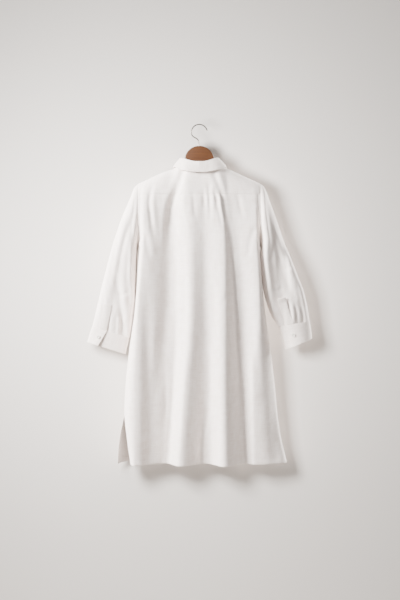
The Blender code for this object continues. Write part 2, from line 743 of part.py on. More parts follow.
def make_collar():
    reach = 180.0 + STAND_OVERLAP_TURN
    wall("collar_stand", stand_point, neck_stations(-reach, reach), (0.0, 0.5, 1.0), STIFFENED, FUSED_LINEN)
    columns = neck_stations(-LEAF_FRONT_TURN, LEAF_FRONT_TURN)
    wall("collar_leaf", leaf_point, columns, (0.0, 0.1, 0.2, 0.3, 0.5, 0.75, 1.0), STIFFENED, FUSED_LINEN)


def button_mesh():
    """A flat button with a raised rim and a dished middle, lying on z = 0."""
    mesh = bmesh.new()
    radius = BUTTON_DIAMETER / 2 * MM
    bmesh.ops.create_cone(mesh, cap_ends=True, segments=12, radius1=radius, radius2=radius,
                          depth=BUTTON_THICKNESS * MM)
    bmesh.ops.translate(mesh, verts=mesh.verts, vec=(0, 0, BUTTON_THICKNESS / 2 * MM))
    top = [f for f in mesh.faces if f.normal.z > 0.9]
    bmesh.ops.inset_region(mesh, faces=top, thickness=1.6 * MM)
    bmesh.ops.translate(mesh, verts=list({v for f in top for v in f.verts}), vec=(0, 0, -0.7 * MM))
    data = bpy.data.meshes.new("button")
    mesh.to_mesh(data)
    mesh.free()
    data.shade_smooth()
    data.set_sharp_from_angle(angle=math.radians(40))
    return data


def place_button(name, data, point, away):
    made = add_object(name, data, SHELL)
    made.location = (point + away * SEAM_GAP) * MM
    made.rotation_mode = "QUATERNION"
    made.rotation_quaternion = away.to_track_quat("Z", "Y")
    return made


def surface_frame(surface, c, r, lift, flip, limits):
    away = normal_of(surface, c, r, limits) * (-1.0 if flip else 1.0)
    return surface(c, r) + away * lift, away


def make_buttons():
    data = button_mesh()
    free = (-1e9, 1e9, -1e9, 1e9)
    for k in range(FRONT_BUTTONS):
        drop = FIRST_BUTTON_DROP + BUTTON_SPACING * k
        if drop < ARMHOLE_MID_DROP:
            x_mid = across("front", 5.5, ARMHOLE_MID_DROP)[0]
            top = upper_edge(x_mid, FRONT_NECK_COLUMN, 180.0)[1]
            row = (turn_at(0.0, drop) + top) / (1 + top)
        else:
            row = 1 + (drop - ARMHOLE_MID_DROP) / (FRONT_HEM_DROP - ARMHOLE_MID_DROP)
        point, away = surface_frame(front_point, 5.5, row, CLOTH * 1.5 + SEAM_GAP, False, free)
        place_button(f"button_{k + 1}", data, point, away)
    point, away = surface_frame(stand_point, 180.0, 0.5, STIFFENED / 2, False, free)
    place_button("button_collar", data, point, away)
    for hand in ("left", "right"):

        def cuff(along, share, hand=hand):
            return cuff_point(hand, along, share)

        point, away = surface_frame(cuff, 0.965, 0.5, STIFFENED / 2, hand == "left", free)
        place_button(f"button_cuff_{hand}", data, point, away)


def wood_outline():
    """The hanger's outline, going round from the hump's right foot to the left and back underneath."""
    foot_drop = WOOD_TOP_DROP + WOOD_HUMP_RADIUS
    hump = [
        Vector((WOOD_HUMP_RADIUS * math.cos(a), 0, -foot_drop + WOOD_HUMP_RADIUS * math.sin(a)))
        for a in [math.pi * k / 12 for k in range(13)]
    ]
    seat = CLOTH / 2 + WOOD_SEAT_GAP
    arm_xs = (WOOD_REACH - 4, 165.0, 130.0, 100.0, 78.0)
    arm = [Vector((x, 0, -(shoulder_drop(x) + seat))) for x in arm_xs]
    fillet = [Vector((66.0, 0, -141.5)), Vector((58.0, 0, -136.5)), Vector((53.0, 0, -130.5))]
    tip = [Vector((WOOD_REACH - 8, 0, -225.0)), Vector((WOOD_REACH - 1, 0, -219.0)), Vector((WOOD_REACH, 0, -204.0))]
    under = [Vector((x, 0, -between(182.0, 219.0, (x / WOOD_REACH) ** 1.3))) for x in (0.0, 40.0, 80.0, 120.0, 160.0)]
    right = [*under, *tip, *arm, *fillet]
    left = [Vector((-p.x, 0, p.z)) for p in reversed(right[1:])]
    return [*right, *hump, *left]


def make_hanger():
    mesh = bmesh.new()
    loop = [mesh.verts.new((p + Vector((0, -WOOD_THICKNESS / 2, 0))) * MM) for p in wood_outline()]
    face = mesh.faces.new(loop)
    grown = bmesh.ops.extrude_face_region(mesh, geom=[face])
    back = [v for v in grown["geom"] if isinstance(v, bmesh.types.BMVert)]
    bmesh.ops.translate(mesh, verts=back, vec=(0, WOOD_THICKNESS * MM, 0))
    face_outwards(mesh)
    sides = [e for e in mesh.edges if abs(e.verts[0].co.y - e.verts[1].co.y) < 1e-9]
    bmesh.ops.bevel(mesh, geom=sides, offset=WOOD_EDGE_ROUND * MM, segments=2, profile=0.5, affect="EDGES",
                    clamp_overlap=True, material=-1)
    data = bpy.data.meshes.new("hanger_wood")
    mesh.to_mesh(data)
    mesh.free()
    data.shade_smooth()
    data.set_sharp_from_angle(angle=math.radians(45))
    wood = add_object("hanger_wood", data, BEECH)

    cutter_mesh = bmesh.new()
    bmesh.ops.create_cone(cutter_mesh, cap_ends=True, segments=16, radius1=(WIRE_RADIUS + SEAM_GAP) * MM,
                          radius2=(WIRE_RADIUS + SEAM_GAP) * MM, depth=2 * (STEM_IN_WOOD + 1) * MM)
    bore = bpy.data.meshes.new("stem_bore")
    cutter_mesh.to_mesh(bore)
    cutter_mesh.free()
    cutter = bpy.data.objects.new("stem_bore", bore)
    bpy.context.scene.collection.objects.link(cutter)
    cutter.location = (STEM_X * MM, 0, -WOOD_TOP_DROP * MM)
    cutter.hide_render = True
    cutter.display_type = "WIRE"
    cut = wood.modifiers.new("stem bore", "BOOLEAN")
    cut.operation = "DIFFERENCE"
    cut.solver = "EXACT"
    cut.object = cutter


def hook_route():
    """The wire's centreline: from its free end over the top, round to the left and down into the wood."""
    centre = Vector((0, 0, WIRE_RADIUS - HOOK_RADIUS))
    arc = [
        centre + Vector((math.cos(math.radians(a)), 0, math.sin(math.radians(a)))) * HOOK_RADIUS
        for a in even(HOOK_END_TURN, HOOK_BEND_TURN, 14)
    ]
    bend = [Vector((x, 0, -drop)) for x, drop in HOOK_BEND]
    foot = Vector((STEM_X, 0, -(WOOD_TOP_DROP + STEM_IN_WOOD)))
    return [*arc, *bend, foot]


def make_hook():
    curve = bpy.data.curves.new("hanger_hook", "CURVE")
    curve.dimensions = "3D"
    curve.bevel_depth = WIRE_RADIUS * MM
    curve.bevel_resolution = 2
    curve.use_fill_caps = True
    route = hook_route()
    line = curve.splines.new("POLY")
    line.points.add(len(route) - 1)
    for place, point in zip(line.points, route):
        place.co = (*(point * MM), 1.0)
    curve.materials.append(bpy.data.materials[STEEL])
    hook = bpy.data.objects.new("hanger_hook", curve)
    bpy.context.scene.collection.objects.link(hook)


def main():
    clear_scene()
    make_materials()
    make_body()
    make_sleeves()
    make_collar()
    make_buttons()
    make_hanger()
    make_hook()


main()
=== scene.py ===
# %% [markdown]
# # A white linen shirt dress on its hanger
# The dress hangs from a wooden hanger with its back to the camera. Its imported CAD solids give
# each sewn piece its place. Each cloth piece is made again here as a thin shell on the same
# form, with the creases, hems and stitches that the solids leave out.

import functools
import math

import bmesh
import bpy
import numpy as np
from mathutils import Matrix, Vector, noise


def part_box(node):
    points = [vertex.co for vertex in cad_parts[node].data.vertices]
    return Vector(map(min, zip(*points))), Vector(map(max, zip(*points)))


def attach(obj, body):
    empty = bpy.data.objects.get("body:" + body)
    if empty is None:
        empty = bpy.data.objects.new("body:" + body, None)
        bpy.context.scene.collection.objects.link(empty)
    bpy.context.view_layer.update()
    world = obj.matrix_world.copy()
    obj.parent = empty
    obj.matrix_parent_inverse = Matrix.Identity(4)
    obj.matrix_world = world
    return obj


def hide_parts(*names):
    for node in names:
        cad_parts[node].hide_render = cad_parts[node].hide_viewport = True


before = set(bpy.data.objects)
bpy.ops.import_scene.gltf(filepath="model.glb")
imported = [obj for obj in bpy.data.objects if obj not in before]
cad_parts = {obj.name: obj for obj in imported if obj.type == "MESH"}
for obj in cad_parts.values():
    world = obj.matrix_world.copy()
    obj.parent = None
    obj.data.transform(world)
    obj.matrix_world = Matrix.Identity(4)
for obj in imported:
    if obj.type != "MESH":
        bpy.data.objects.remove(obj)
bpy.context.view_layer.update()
MM = 0.001

# %% [markdown]
# ## The camera and the room
# The photograph looks straight at the middle of the dress from 2.4 m, so the camera has no tilt
# and a slightly long lens. The wall stands close behind, because the dress's soft shadow on it
# is part of how the cloth reads. It could be a far backdrop, but then the shadow would be lost.
# The wall's rear face is clear and casts no shadow, so that the buttoned front can be seen too.

# %% Camera
CAMERA_PLACE = (0.0024, -2.4, -0.593)
LENS_MM = 42.5


def add_object(name, data):
    made = bpy.data.objects.new(name, data)
    bpy.context.scene.collection.objects.link(made)
    return made


camera_data = bpy.data.cameras.new("camera")
camera_data.lens = LENS_MM
camera_data.sensor_width = 36.0
camera = add_object("camera", camera_data)
camera.location = CAMERA_PLACE
camera.rotation_euler = (math.pi / 2, 0, 0)
bpy.context.scene.camera = camera
print("lens", LENS_MM, "mm")


# %% [markdown]
# ## Colours and shader nodes
# Shaders work in linear light, while colours are usually picked as sRGB hex values. One function
# turns a hex value to linear, and another adds a node with its settings and links.

# %% Helpers for materials
def colour(code):
    """Linear colour of an sRGB hex value."""
    parts = [int(code[k : k + 2], 16) / 255 for k in (0, 2, 4)]
    linear = [v / 12.92 if v <= 0.04045 else ((v + 0.055) / 1.055) ** 2.4 for v in parts]
    return (*linear, 1.0)


def add_node(tree, kind, sockets=None, **settings):
    """Adds a node. A socket's value is a number, a colour, or (node, output) to link from."""
    made = tree.nodes.new(kind)
    for name, value in settings.items():
        setattr(made, name, value)
    for socket, value in (sockets or {}).items():
        if isinstance(value, tuple) and isinstance(value[0], bpy.types.Node):
            tree.links.new(value[0].outputs[value[1]], made.inputs[socket])
        else:
            made.inputs[socket].default_value = value
    return made


def new_material(name, **values):
    """A material with a Principled shader, whose plain values are set by socket name."""
    made = bpy.data.materials.new(name)
    made.use_nodes = True
    shader = made.node_tree.nodes["Principled BSDF"]
    for socket, value in values.items():
        shader.inputs[socket.replace("_", " ")].default_value = value
    return made, made.node_tree, shader


# %% [markdown]
# ## Wall, floor and light
# A soft light at the upper left gives the folds their shaded right sides, and a weaker one at the
# right and the pale world fill the shadows. The wall has a light of its own, so that its shadow
# can be set apart from the folds. Two more lights show the buttoned front.

# %% Wall, floor and lights
WALL_Y = 0.084
FLOOR_Z = -1.75
WALL_SIZE = 9.0
WALL_MIDDLE_UP = 4.4
FLOOR_SIZE = 14.0
WORLD_STRENGTH = 0.38
LIGHTS = (
    # name, place, height that it points at, size in metres, watts, what it reaches
    ("wall light", (-0.47, -1.05, -0.38), -0.6, 0.4, 60.0, "room"),
    ("key", (-2.5, -1.24, 0.6), -0.6, 1.3, 690.0, "dress"),
    ("fill", (1.9, -2.6, -0.5), -0.7, 1.8, 19.0, "dress"),
    ("front key", (2.3, 1.05, 0.3), -0.6, 1.2, 250.0, "dress"),
    ("front fill", (-2.0, 2.4, -0.6), -0.7, 2.0, 8.0, "both"),
)


def stage_plane(name, size, place, turn, see_through):
    mesh = bmesh.new()
    bmesh.ops.create_grid(mesh, x_segments=1, y_segments=1, size=size / 2)
    data = bpy.data.meshes.new(name)
    mesh.to_mesh(data)
    mesh.free()
    made = add_object(name, data)
    made.location = place
    made.rotation_euler = (turn, 0, 0)
    paint, tree, shader = new_material(name + " paint", Base_Color=colour("E6E1DC"), Roughness=0.95)
    if see_through:
        face = add_node(tree, "ShaderNodeNewGeometry")
        clear = add_node(tree, "ShaderNodeBsdfTransparent")
        sockets = {0: (face, "Backfacing"), 1: (shader, "BSDF"), 2: (clear, "BSDF")}
        mix = add_node(tree, "ShaderNodeMixShader", sockets)
        tree.links.new(mix.outputs[0], tree.nodes["Material Output"].inputs["Surface"])
        made.visible_shadow = False
    data.materials.append(paint)
    return made


wall = stage_plane("wall", WALL_SIZE, (0, WALL_Y, FLOOR_Z + WALL_MIDDLE_UP), math.pi / 2, True)
floor = stage_plane("floor", FLOOR_SIZE, (0, 0, FLOOR_Z), 0.0, False)


def area_light(name, place, target_z, size, watts, reaches):
    """A square soft light on the dress, on the room, or on both."""
    data = bpy.data.lights.new(name, "AREA")
    data.size = size
    data.energy = watts
    data.color = colour("FFFDFA")[:3]
    made = add_object(name, data)
    made.location = place
    made.rotation_mode = "QUATERNION"
    made.rotation_quaternion = (Vector((0, 0, target_z)) - Vector(place)).to_track_quat("-Z", "Y")
    if reaches != "both":
        flag = bpy.data.collections.new(name + " flag")
        for piece in (wall, floor):
            flag.objects.link(piece)
        for kept in flag.collection_objects:
            kept.light_linking.link_state = "INCLUDE" if reaches == "room" else "EXCLUDE"
        made.light_linking.receiver_collection = flag


for light in LIGHTS:
    area_light(*light)
world = bpy.data.worlds.new("room light")
world.use_nodes = True
world.node_tree.nodes["Background"].inputs["Color"].default_value = colour("F4F1EF")
world.node_tree.nodes["Background"].inputs["Strength"].default_value = WORLD_STRENGTH
bpy.context.scene.world = world

# %% [markdown]
# ## Linen
# Linen is woven from flax yarn, which is uneven: thick slubs show as short streaks along both
# threads, and the cloth has a dry, slightly crisp surface. Its weave has a thread each 0.55 mm,
# which is far finer than a pixel, so the threads are drawn at 1.3 mm and the slubs at 3 mm, as
# coarse as they need to be to show. The pattern reads the UV map, which is in metres along the
# threads, so it follows each cut piece.

# %% Linen materials
THREAD_MM = 1.3
SLUB_WIDTH_MM = 3.0
SLUB_LENGTH_MM = 55.0
CLOUD_MM = 16.0
ENDLESS_MM = 1e6
# At this scale one band of the wave texture is about one unit wide.
WAVE_SCALE = 1.0 / 3.1416


def colour_by(tree, shader, source, dark, light):
    """Colours a shader from dark to light by a node's first output."""
    sockets = {0: (source, 0), 6: colour(dark), 7: colour(light)}
    tint = add_node(tree, "ShaderNodeMix", sockets, data_type="RGBA")
    tree.links.new(tint.outputs[2], shader.inputs["Base Color"])


def bump_by(tree, shader, source, depth, strength, below=None):
    """Bumps a shader by a depth in millimetres, on top of the bump below."""
    sockets = {"Height": (source, 0), "Distance": depth * MM, "Strength": strength}
    if below:
        sockets["Normal"] = (below, 0)
    made = add_node(tree, "ShaderNodeBump", sockets)
    tree.links.new(made.outputs[0], shader.inputs["Normal"])
    return made


def object_noise(tree, sizes=None, turn=0.0, **sockets):
    """A noise in the piece's own coordinates, stretched to sizes in millimetres."""
    spot = (add_node(tree, "ShaderNodeTexCoord"), "Object")
    if sizes:
        scale = tuple(1 / (size * MM) for size in sizes)
        placing = {"Vector": spot, "Scale": scale, "Rotation": (0, turn, 0)}
        spot = (add_node(tree, "ShaderNodeMapping", placing), 0)
    return add_node(tree, "ShaderNodeTexNoise", {"Vector": spot, **sockets})


def linen(name, light, dark, slub_depth, roughness):
    made, tree, shader = new_material(
        name, Roughness=roughness, Sheen_Weight=0.25, Sheen_Roughness=0.6, Specular_IOR_Level=0.3
    )
    place = add_node(tree, "ShaderNodeUVMap", uv_map="UVMap")
    per_metre = 1 / MM

    def texture(kind, width, length, sockets, **settings):
        scale = (per_metre / width, per_metre / length, 1.0)
        spot = add_node(tree, "ShaderNodeMapping", {"Vector": (place, "UV"), "Scale": scale})
        return add_node(tree, kind, {"Vector": (spot, 0), **sockets}, **settings)

    def uneven(width, length, detail):
        sockets = {"Scale": 1.0, "Detail": detail}
        return texture("ShaderNodeTexNoise", width, length, sockets, noise_dimensions="2D")

    def threads(width, length, direction):
        sockets = {"Scale": WAVE_SCALE, "Distortion": 0.0}
        return texture("ShaderNodeTexWave", width, length, sockets, bands_direction=direction)

    def join(a, a_output, b, b_output, operation):
        return add_node(tree, "ShaderNodeMath", {0: (a, a_output), 1: (b, b_output)}, operation=operation)

    warp = uneven(SLUB_WIDTH_MM, SLUB_LENGTH_MM, 2.0)
    weft = uneven(SLUB_LENGTH_MM * 0.8, SLUB_WIDTH_MM, 2.0)
    clouds = uneven(CLOUD_MM, CLOUD_MM * 1.4, 3.0)
    slubs = join(warp, 0, weft, 0, "ADD")
    weave = join(threads(THREAD_MM, ENDLESS_MM, "X"), 1, threads(ENDLESS_MM, THREAD_MM, "Y"), 1, "MULTIPLY")
    shade = join(slubs, 0, clouds, 0, "ADD")
    wider = add_node(tree, "ShaderNodeMapRange", {"Value": (shade, 0), "From Min": 1.1, "From Max": 1.8})
    colour_by(tree, shader, wider, dark, light)
    slub_bump = bump_by(tree, shader, slubs, slub_depth, 0.55)
    bump_by(tree, shader, weave, 0.12, 0.5, slub_bump)
    return made


LINEN = linen("washed white linen", "FAF1EC", "EDE1DA", 0.35, 0.9)
# The doubled pieces, which are the band, plackets, cuffs and collar, are coloured a little darker than the
# single linen. That darkening is painted shade: it stands in for the collar's fall, which faces slightly
# down and away from the light.
DOUBLE_LINEN_WITH_PAINTED_SHADE = linen("pressed double linen with painted shade", "F4EAE4", "E8DCD4", 0.28, 0.86)

# Sewing thread of polished cotton: a little smoother and brighter than the cloth.
THREAD, tree, shader = new_material("cotton thread", Roughness=0.6, Sheen_Weight=0.2)
colour_by(tree, shader, object_noise(tree, Scale=900.0), "DDD8D1", "F4F1EC")
print("cloth materials", LINEN.name, DOUBLE_LINEN_WITH_PAINTED_SHADE.name, THREAD.name)

# %% [markdown]
# ## Pearl, beech and steel
# The buttons are cut from shell, with cloudy bands and a soft shine under a clear surface. The
# hanger is beech with short brown flecks and a satin varnish. The hook is plated wire, where a
# little unevenness in the roughness keeps the highlights from looking like a mirror's.

# %% Pearl, beech and steel
GRAIN_WIDTH_MM = 2.4
GRAIN_LENGTH_MM = 70.0
GRAIN_TURN = 0.04
FLECK_MM = (6, 1.2, 0.9)


def roughness_by(tree, shader, source, low, high, smooth, rough):
    """Roughness from smooth to rough, as a node's first output goes from low to high."""
    ends = {"From Min": low, "From Max": high, "To Min": smooth, "To Max": rough}
    made = add_node(tree, "ShaderNodeMapRange", {"Value": (source, 0), **ends})
    tree.links.new(made.outputs[0], shader.inputs["Roughness"])


PEARL, tree, shader = new_material("cut shell", Roughness=0.28, Coat_Weight=0.5, Coat_Roughness=0.12)
bands = object_noise(tree, Scale=260.0, Detail=4.0, Distortion=1.4)
colour_by(tree, shader, bands, "D6CFC2", "F3EFE8")

BEECH, tree, shader = new_material("satin varnished beech", Coat_Weight=0.35, Coat_Roughness=0.3)
grain_sizes = (GRAIN_LENGTH_MM, GRAIN_WIDTH_MM * 2, GRAIN_WIDTH_MM)
grain = object_noise(tree, grain_sizes, GRAIN_TURN, Scale=1.0, Detail=5.0, Roughness=0.6, Distortion=0.3)
colour_by(tree, shader, grain, "331808", "5C3716")
roughness_by(tree, shader, object_noise(tree, FLECK_MM, Scale=1.0, Detail=2.0), 0.3, 0.7, 0.36, 0.5)
bump_by(tree, shader, grain, 0.15, 0.4)

STEEL, tree, shader = new_material("plated steel wire", Base_Color=colour("6C6762"), Metallic=1.0)
roughness_by(tree, shader, object_noise(tree, Scale=400.0, Detail=3.0), 0.0, 1.0, 0.18, 0.34)
print("hard materials", PEARL.name, BEECH.name, STEEL.name)


# %% [markdown]
# ## Smooth lines and blends
# The cloth hangs in long folds whose crests and hollows drift sideways on their way down. Each is
# held as a few stations, and a smooth line between them never swings past them, which a plain
# spline would. Everything below is in millimetres until a mesh is made.

# %% Lines and blends
class Line:
    """A smooth line through stations that never swings past them."""

    def __init__(self, stations, values):
        self.s = [float(v) for v in stations]
        self.v = [float(v) for v in values]
        steps = [(self.v[i + 1] - self.v[i]) / (self.s[i + 1] - self.s[i]) for i in range(len(self.s) - 1)]
        inner = [0.0 if a * b <= 0 else 2 * a * b / (a + b) for a, b in zip(steps, steps[1:])]
        self.m = [steps[0], *inner, steps[-1]]

    def __call__(self, at):
        if at <= self.s[0]:
            return self.v[0]
        if at >= self.s[-1]:
            return self.v[-1]
        i = max(k for k in range(len(self.s) - 1) if self.s[k] <= at)
        width = self.s[i + 1] - self.s[i]
        t = (at - self.s[i]) / width
        a = (1 + 2 * t) * (1 - t) ** 2 * self.v[i] + t * (1 - t) ** 2 * width * self.m[i]
        b = t * t * (3 - 2 * t) * self.v[i + 1] + t * t * (t - 1) * width * self.m[i + 1]
        return a + b
def table_lines(rows):
    """One line for each further column of a table, along the stations in its first."""
    stations, *columns = zip(*rows)
    return [Line(stations, column) for column in columns]
def ease(low, high, at):
    """0 below low, 1 above high and smooth between them."""
    t = np.clip((at - low) / (high - low), 0.0, 1.0)
    return t * t * (3 - 2 * t)


def between(a, b, share):
    return a + (b - a) * share


def bump_at(at, centre, half_width):
    return np.exp(-(((at - centre) / half_width) ** 2))


def turn_bump(at, centre, half_width):
    """A bump on a ring, with all three in degrees."""
    return bump_at((at - centre + 180) % 360, 180, half_width)


# %% [markdown]
# ## The body's form
# The back is gathered into a yoke, so its fullness falls in soft folds that deepen downwards. Each
# panel is described across by its crests and hollows at five heights, with rounded blends between
# them. A simulated drape could find such folds too, but not the very ones in the photograph.

# %% Sizes and folds of the body
CLOTH = 1.6
STIFFENED = 2.2
SEAM_GAP = 0.3
HALF_GAP = SEAM_GAP / 2
YOKE_SEAM_DROP = 238.5
ARMHOLE_MID_DROP = 305.0
UNDERARM_DROP = 411.2
VENT_TOP_DROP = 970.0
HEM_DROP = {"back": 1142.0, "front": 1150.0}
SHOULDER_REACH = 204.0
SHOULDER_PEAK_DROP = 104.4
SHOULDER_SLOPE = 0.454
SHOULDER_ROUND = 40.0
ARMHOLE_HALF_DEPTH = 42.0
NECK_HALF_WIDTH = 78.0
NECK_BACK_TURN = 0.44
NECK_FRONT_TURN = -0.711
SHOULDER_SEAM_TURN = -0.06
SHOULDER_SEAM_HALF_TURN = 0.003
NECK_COLUMN = {"back": 92.0, "front": 100.0}
BAND_EDGE = 6.0
BAND_SEWN_EDGE = 6.13
LEVELS = (YOKE_SEAM_DROP, 386.0, 634.0, 881.0, HEM_DROP["back"])
FACING = {"back": -1.0, "front": 1.0}

# From left to right: x at each of the levels, then distance out at each of them.
FOLD_TABLE = {
    "back": (
        ((-181, -184, -204, -214, -216), (49, 55, 60, 61, 57)),
        ((-88, -86, -84, -92, -112), (43, 36, 30, 26, 19)),
        ((-36, -28, -26, -46, -64), (55, 60, 62, 64, 64)),
        ((14, 22, 24, 26, 22), (53, 52, 47, 37, 21)),
        ((64, 79, 82, 80, 84), (55, 60, 65, 69, 71)),
        ((97, 112, 130, 143, 153), (48, 45, 33, 26, 18)),
        ((182, 190, 198, 182, 188), (46, 52, 55, 50, 38)),
    ),
    "front": (
        ((-183, -183, -190, -206, -232), (46, 49, 50, 52, 52)),
        ((-126, -130, -138, -150, -172), (46, 40, 36, 32, 29)),
        ((-76, -80, -84, -92, -104), (51, 53, 56, 60, 62)),
        ((-36, -38, -42, -46, -52), (51, 48, 46, 44, 40)),
        ((-17, -17, -17, -17, -17), (51, 51, 52, 53, 52)),
        ((17, 17, 17, 17, 17), (51, 51, 52, 53, 52)),
        ((36, 36, 40, 44, 50), (51, 49, 46, 43, 39)),
        ((78, 74, 80, 88, 98), (51, 54, 57, 60, 61)),
        ((128, 124, 134, 152, 170), (46, 41, 36, 33, 30)),
        ((183, 184, 194, 212, 240), (46, 49, 51, 52, 52)),
    ),
}
SIDE_DROPS = (UNDERARM_DROP, 470.0, 552.0, 634.0, 759.0, 881.0, VENT_TOP_DROP, 1060.0, HEM_DROP["back"])
SIDE_EDGES = {
    ("back", "left"): (-202.0, -206.0, -210.5, -217.5, -235.5, -248.5, -252.5, -244.0, -232.0),
    ("back", "right"): (202.0, 207.0, 213.5, 222.0, 240.0, 255.0, 264.0, 276.0, 295.0),
    ("front", "left"): (-202.0, -206.0, -210.5, -217.5, -235.5, -248.5, -252.5, -270.0, -277.0),
    ("front", "right"): (202.0, 207.0, 213.5, 222.0, 240.0, 255.0, 264.0, 272.0, 284.0),
}
YOKE_GATHERS = (
    # x, half width, height
    (-52.0, 9.0, 2.0),
    (-24.0, 9.0, 1.6),
    (4.0, 8.0, 1.4),
    (28.0, 7.0, 2.2),
    (47.0, 7.0, 2.4),
    (68.0, 7.0, 2.6),
)
GATHER_LENGTH = 120.0
SLOPE_ROUND = 0.3
FOLDS = {
    side: [(Line(LEVELS, xs), Line(LEVELS, outs)) for xs, outs in rows]
    for side, rows in FOLD_TABLE.items()
}
EDGES = {key: Line(SIDE_DROPS, xs) for key, xs in SIDE_EDGES.items()}
print("folds", {side: len(rows) for side, rows in FOLDS.items()})


# %% [markdown]
# ## Points on the body
# Below the middle of the armhole a point is found across its level. Above it the cloth goes over
# the shoulder, on ovals that are boxier near the neck, where the collar holds it open.

# %% Body surface
def shoulder_drop(x):
    return SHOULDER_PEAK_DROP + SHOULDER_SLOPE * math.hypot(x, SHOULDER_ROUND)


def armhole_out(drop):
    if drop >= UNDERARM_DROP:
        return 0.0
    if drop < ARMHOLE_MID_DROP:
        return ARMHOLE_HALF_DEPTH
    low = (drop - ARMHOLE_MID_DROP) / (UNDERARM_DROP - ARMHOLE_MID_DROP)
    return ARMHOLE_HALF_DEPTH * math.sqrt(max(0.0, 1 - low * low))


@functools.lru_cache(maxsize=None)
def section(side, drop):
    knots = [(x(drop), out(drop)) for x, out in FOLDS[side]]
    if drop < UNDERARM_DROP:
        reach = SHOULDER_REACH - HALF_GAP
        return [(-reach, armhole_out(drop)), *knots, (reach, armhole_out(drop))]
    return [(EDGES[side, "left"](drop), HALF_GAP), *knots, (EDGES[side, "right"](drop), HALF_GAP)]


def slope(share):
    """Blend between a crest and a hollow: an even slope with rounded ends."""
    if share > 0.5:
        return 1 - slope(1 - share)
    if share < SLOPE_ROUND:
        return share * share / (2 * SLOPE_ROUND * (1 - SLOPE_ROUND))
    return (share - SLOPE_ROUND / 2) / (1 - SLOPE_ROUND)


def edge_curve(inner, edge, share, turn):
    """From the last crest (share 0) to the side edge (share 1)."""
    quarter = share * math.pi / 2
    along = between(share, math.sin(quarter), turn)
    down = between((1 - math.cos(math.pi * share)) / 2, 1 - math.cos(quarter), turn)
    return between(inner[0], edge[0], along), between(inner[1], edge[1], down)


def across(side, u, drop):
    """(x, out) at column u, which is whole at each crest, hollow and edge."""
    knots = section(side, drop)
    last = len(knots) - 2
    i = min(last, max(0, int(u)))
    share = u - i
    turn = float(ease(ARMHOLE_MID_DROP + 80, UNDERARM_DROP, drop))
    if i == 0:
        return edge_curve(knots[1], knots[0], 1 - share, turn)
    if i == last:
        return edge_curve(knots[last], knots[last + 1], share, turn)
    a, b = knots[i], knots[i + 1]
    return between(a[0], b[0], share), between(a[1], b[1], slope(share))


def out_at(side, x, drop):
    knots = section(side, drop)
    i = max([k for k in range(len(knots) - 1) if knots[k][0] <= x], default=0)
    a, b = knots[i], knots[i + 1]
    share = min(1.0, max(0.0, (x - a[0]) / (b[0] - a[0])))
    return between(a[1], b[1], slope(share))


def spread(x):
    return 0.5 + 0.5 * min(1.0, (x / SHOULDER_REACH) ** 2)


def gathers(side, x, drop):
    if side == "front" or drop < YOKE_SEAM_DROP:
        return 0.0
    start = YOKE_SEAM_DROP + 14
    fade = ease(YOKE_SEAM_DROP, start, drop) * ease(YOKE_SEAM_DROP + GATHER_LENGTH, start, drop)
    return float(fade * sum(height * bump_at(x, centre, width) for centre, width, height in YOKE_GATHERS))


def over_shoulder(x, turn):
    """Point above the armhole's middle. Turn is 1 there at the back, 0 on top and -1 at the front."""
    angle = turn * math.pi / 2
    drop = ARMHOLE_MID_DROP - (ARMHOLE_MID_DROP - shoulder_drop(x)) * math.cos(angle)
    side = "back" if turn >= 0 else "front"
    out = out_at(side, x, drop) * abs(math.sin(angle)) ** spread(x)
    return Vector((x, FACING[side] * (out + gathers(side, x, drop)), -drop))


def turn_at(x, drop):
    share = (ARMHOLE_MID_DROP - drop) / (ARMHOLE_MID_DROP - shoulder_drop(x))
    return math.acos(min(1.0, max(-1.0, share))) / (math.pi / 2)


def panel_point(side, u, drop):
    x, out = across(side, u, drop)
    if drop < ARMHOLE_MID_DROP:
        return over_shoulder(x, -FACING[side] * turn_at(x, drop))
    return Vector((x, FACING[side] * (out + gathers(side, x, drop)), -drop))


def neck_turn(angle):
    """(x, turn over the shoulder) of the neck seam, with the angle from centre back in degrees."""
    a = math.radians(angle)
    if abs(angle) <= 90:
        turn = NECK_BACK_TURN * math.cos(a) ** 1.6
    else:
        turn = NECK_FRONT_TURN * abs(math.cos(a)) ** 1.2
    return NECK_HALF_WIDTH * math.sin(a), turn


SHOULDER_SEAM_ANGLE = 180 - math.degrees(math.acos((SHOULDER_SEAM_TURN / NECK_FRONT_TURN) ** (1 / 1.2)))


def upper_edge(x_below, neck_column, centre_angle):
    sign = -1.0 if x_below < 0 else 1.0
    reach = abs(x_below)
    if reach <= neck_column:
        x, turn = neck_turn(between(centre_angle, SHOULDER_SEAM_ANGLE, reach / neck_column))
        return sign * x, turn
    x_neck, turn = neck_turn(SHOULDER_SEAM_ANGLE)
    edge = SHOULDER_REACH - HALF_GAP
    return sign * between(x_neck, edge, (reach - neck_column) / (edge - neck_column)), turn


def fan_point(low, high, share):
    x = between(low[0], high[0], share)
    signed = [math.copysign(abs(turn) ** spread(end), turn) for end, turn in (low, high)]
    even_turn = between(*signed, share)
    return over_shoulder(x, math.copysign(abs(even_turn) ** (1 / spread(x)), even_turn))


def back_point(u, drop):
    return panel_point("back", u, drop)


def yoke_point(u, share):
    """Share 0 is at the yoke's seam with the back and 1 at its upper edge."""
    x_seam = across("back", u, YOKE_SEAM_DROP)[0]
    x_top, turn_top = upper_edge(x_seam, NECK_COLUMN["back"], 0.0)
    seam = (x_seam, turn_at(x_seam, YOKE_SEAM_DROP - SEAM_GAP))
    return fan_point(seam, (x_top, turn_top + SHOULDER_SEAM_HALF_TURN), share)


def front_point(u, row):
    """Row 0 is at the neck and shoulder seams, 1 at the armhole's middle, 2 at the hem."""
    if row > 1:
        return panel_point("front", u, between(ARMHOLE_MID_DROP, HEM_DROP["front"], row - 1))
    x_mid = across("front", u, ARMHOLE_MID_DROP)[0]
    x_top, turn_top = upper_edge(x_mid, NECK_COLUMN["front"], 180.0)
    return fan_point((x_top, turn_top - SHOULDER_SEAM_HALF_TURN), (x_mid, -1.0), row)


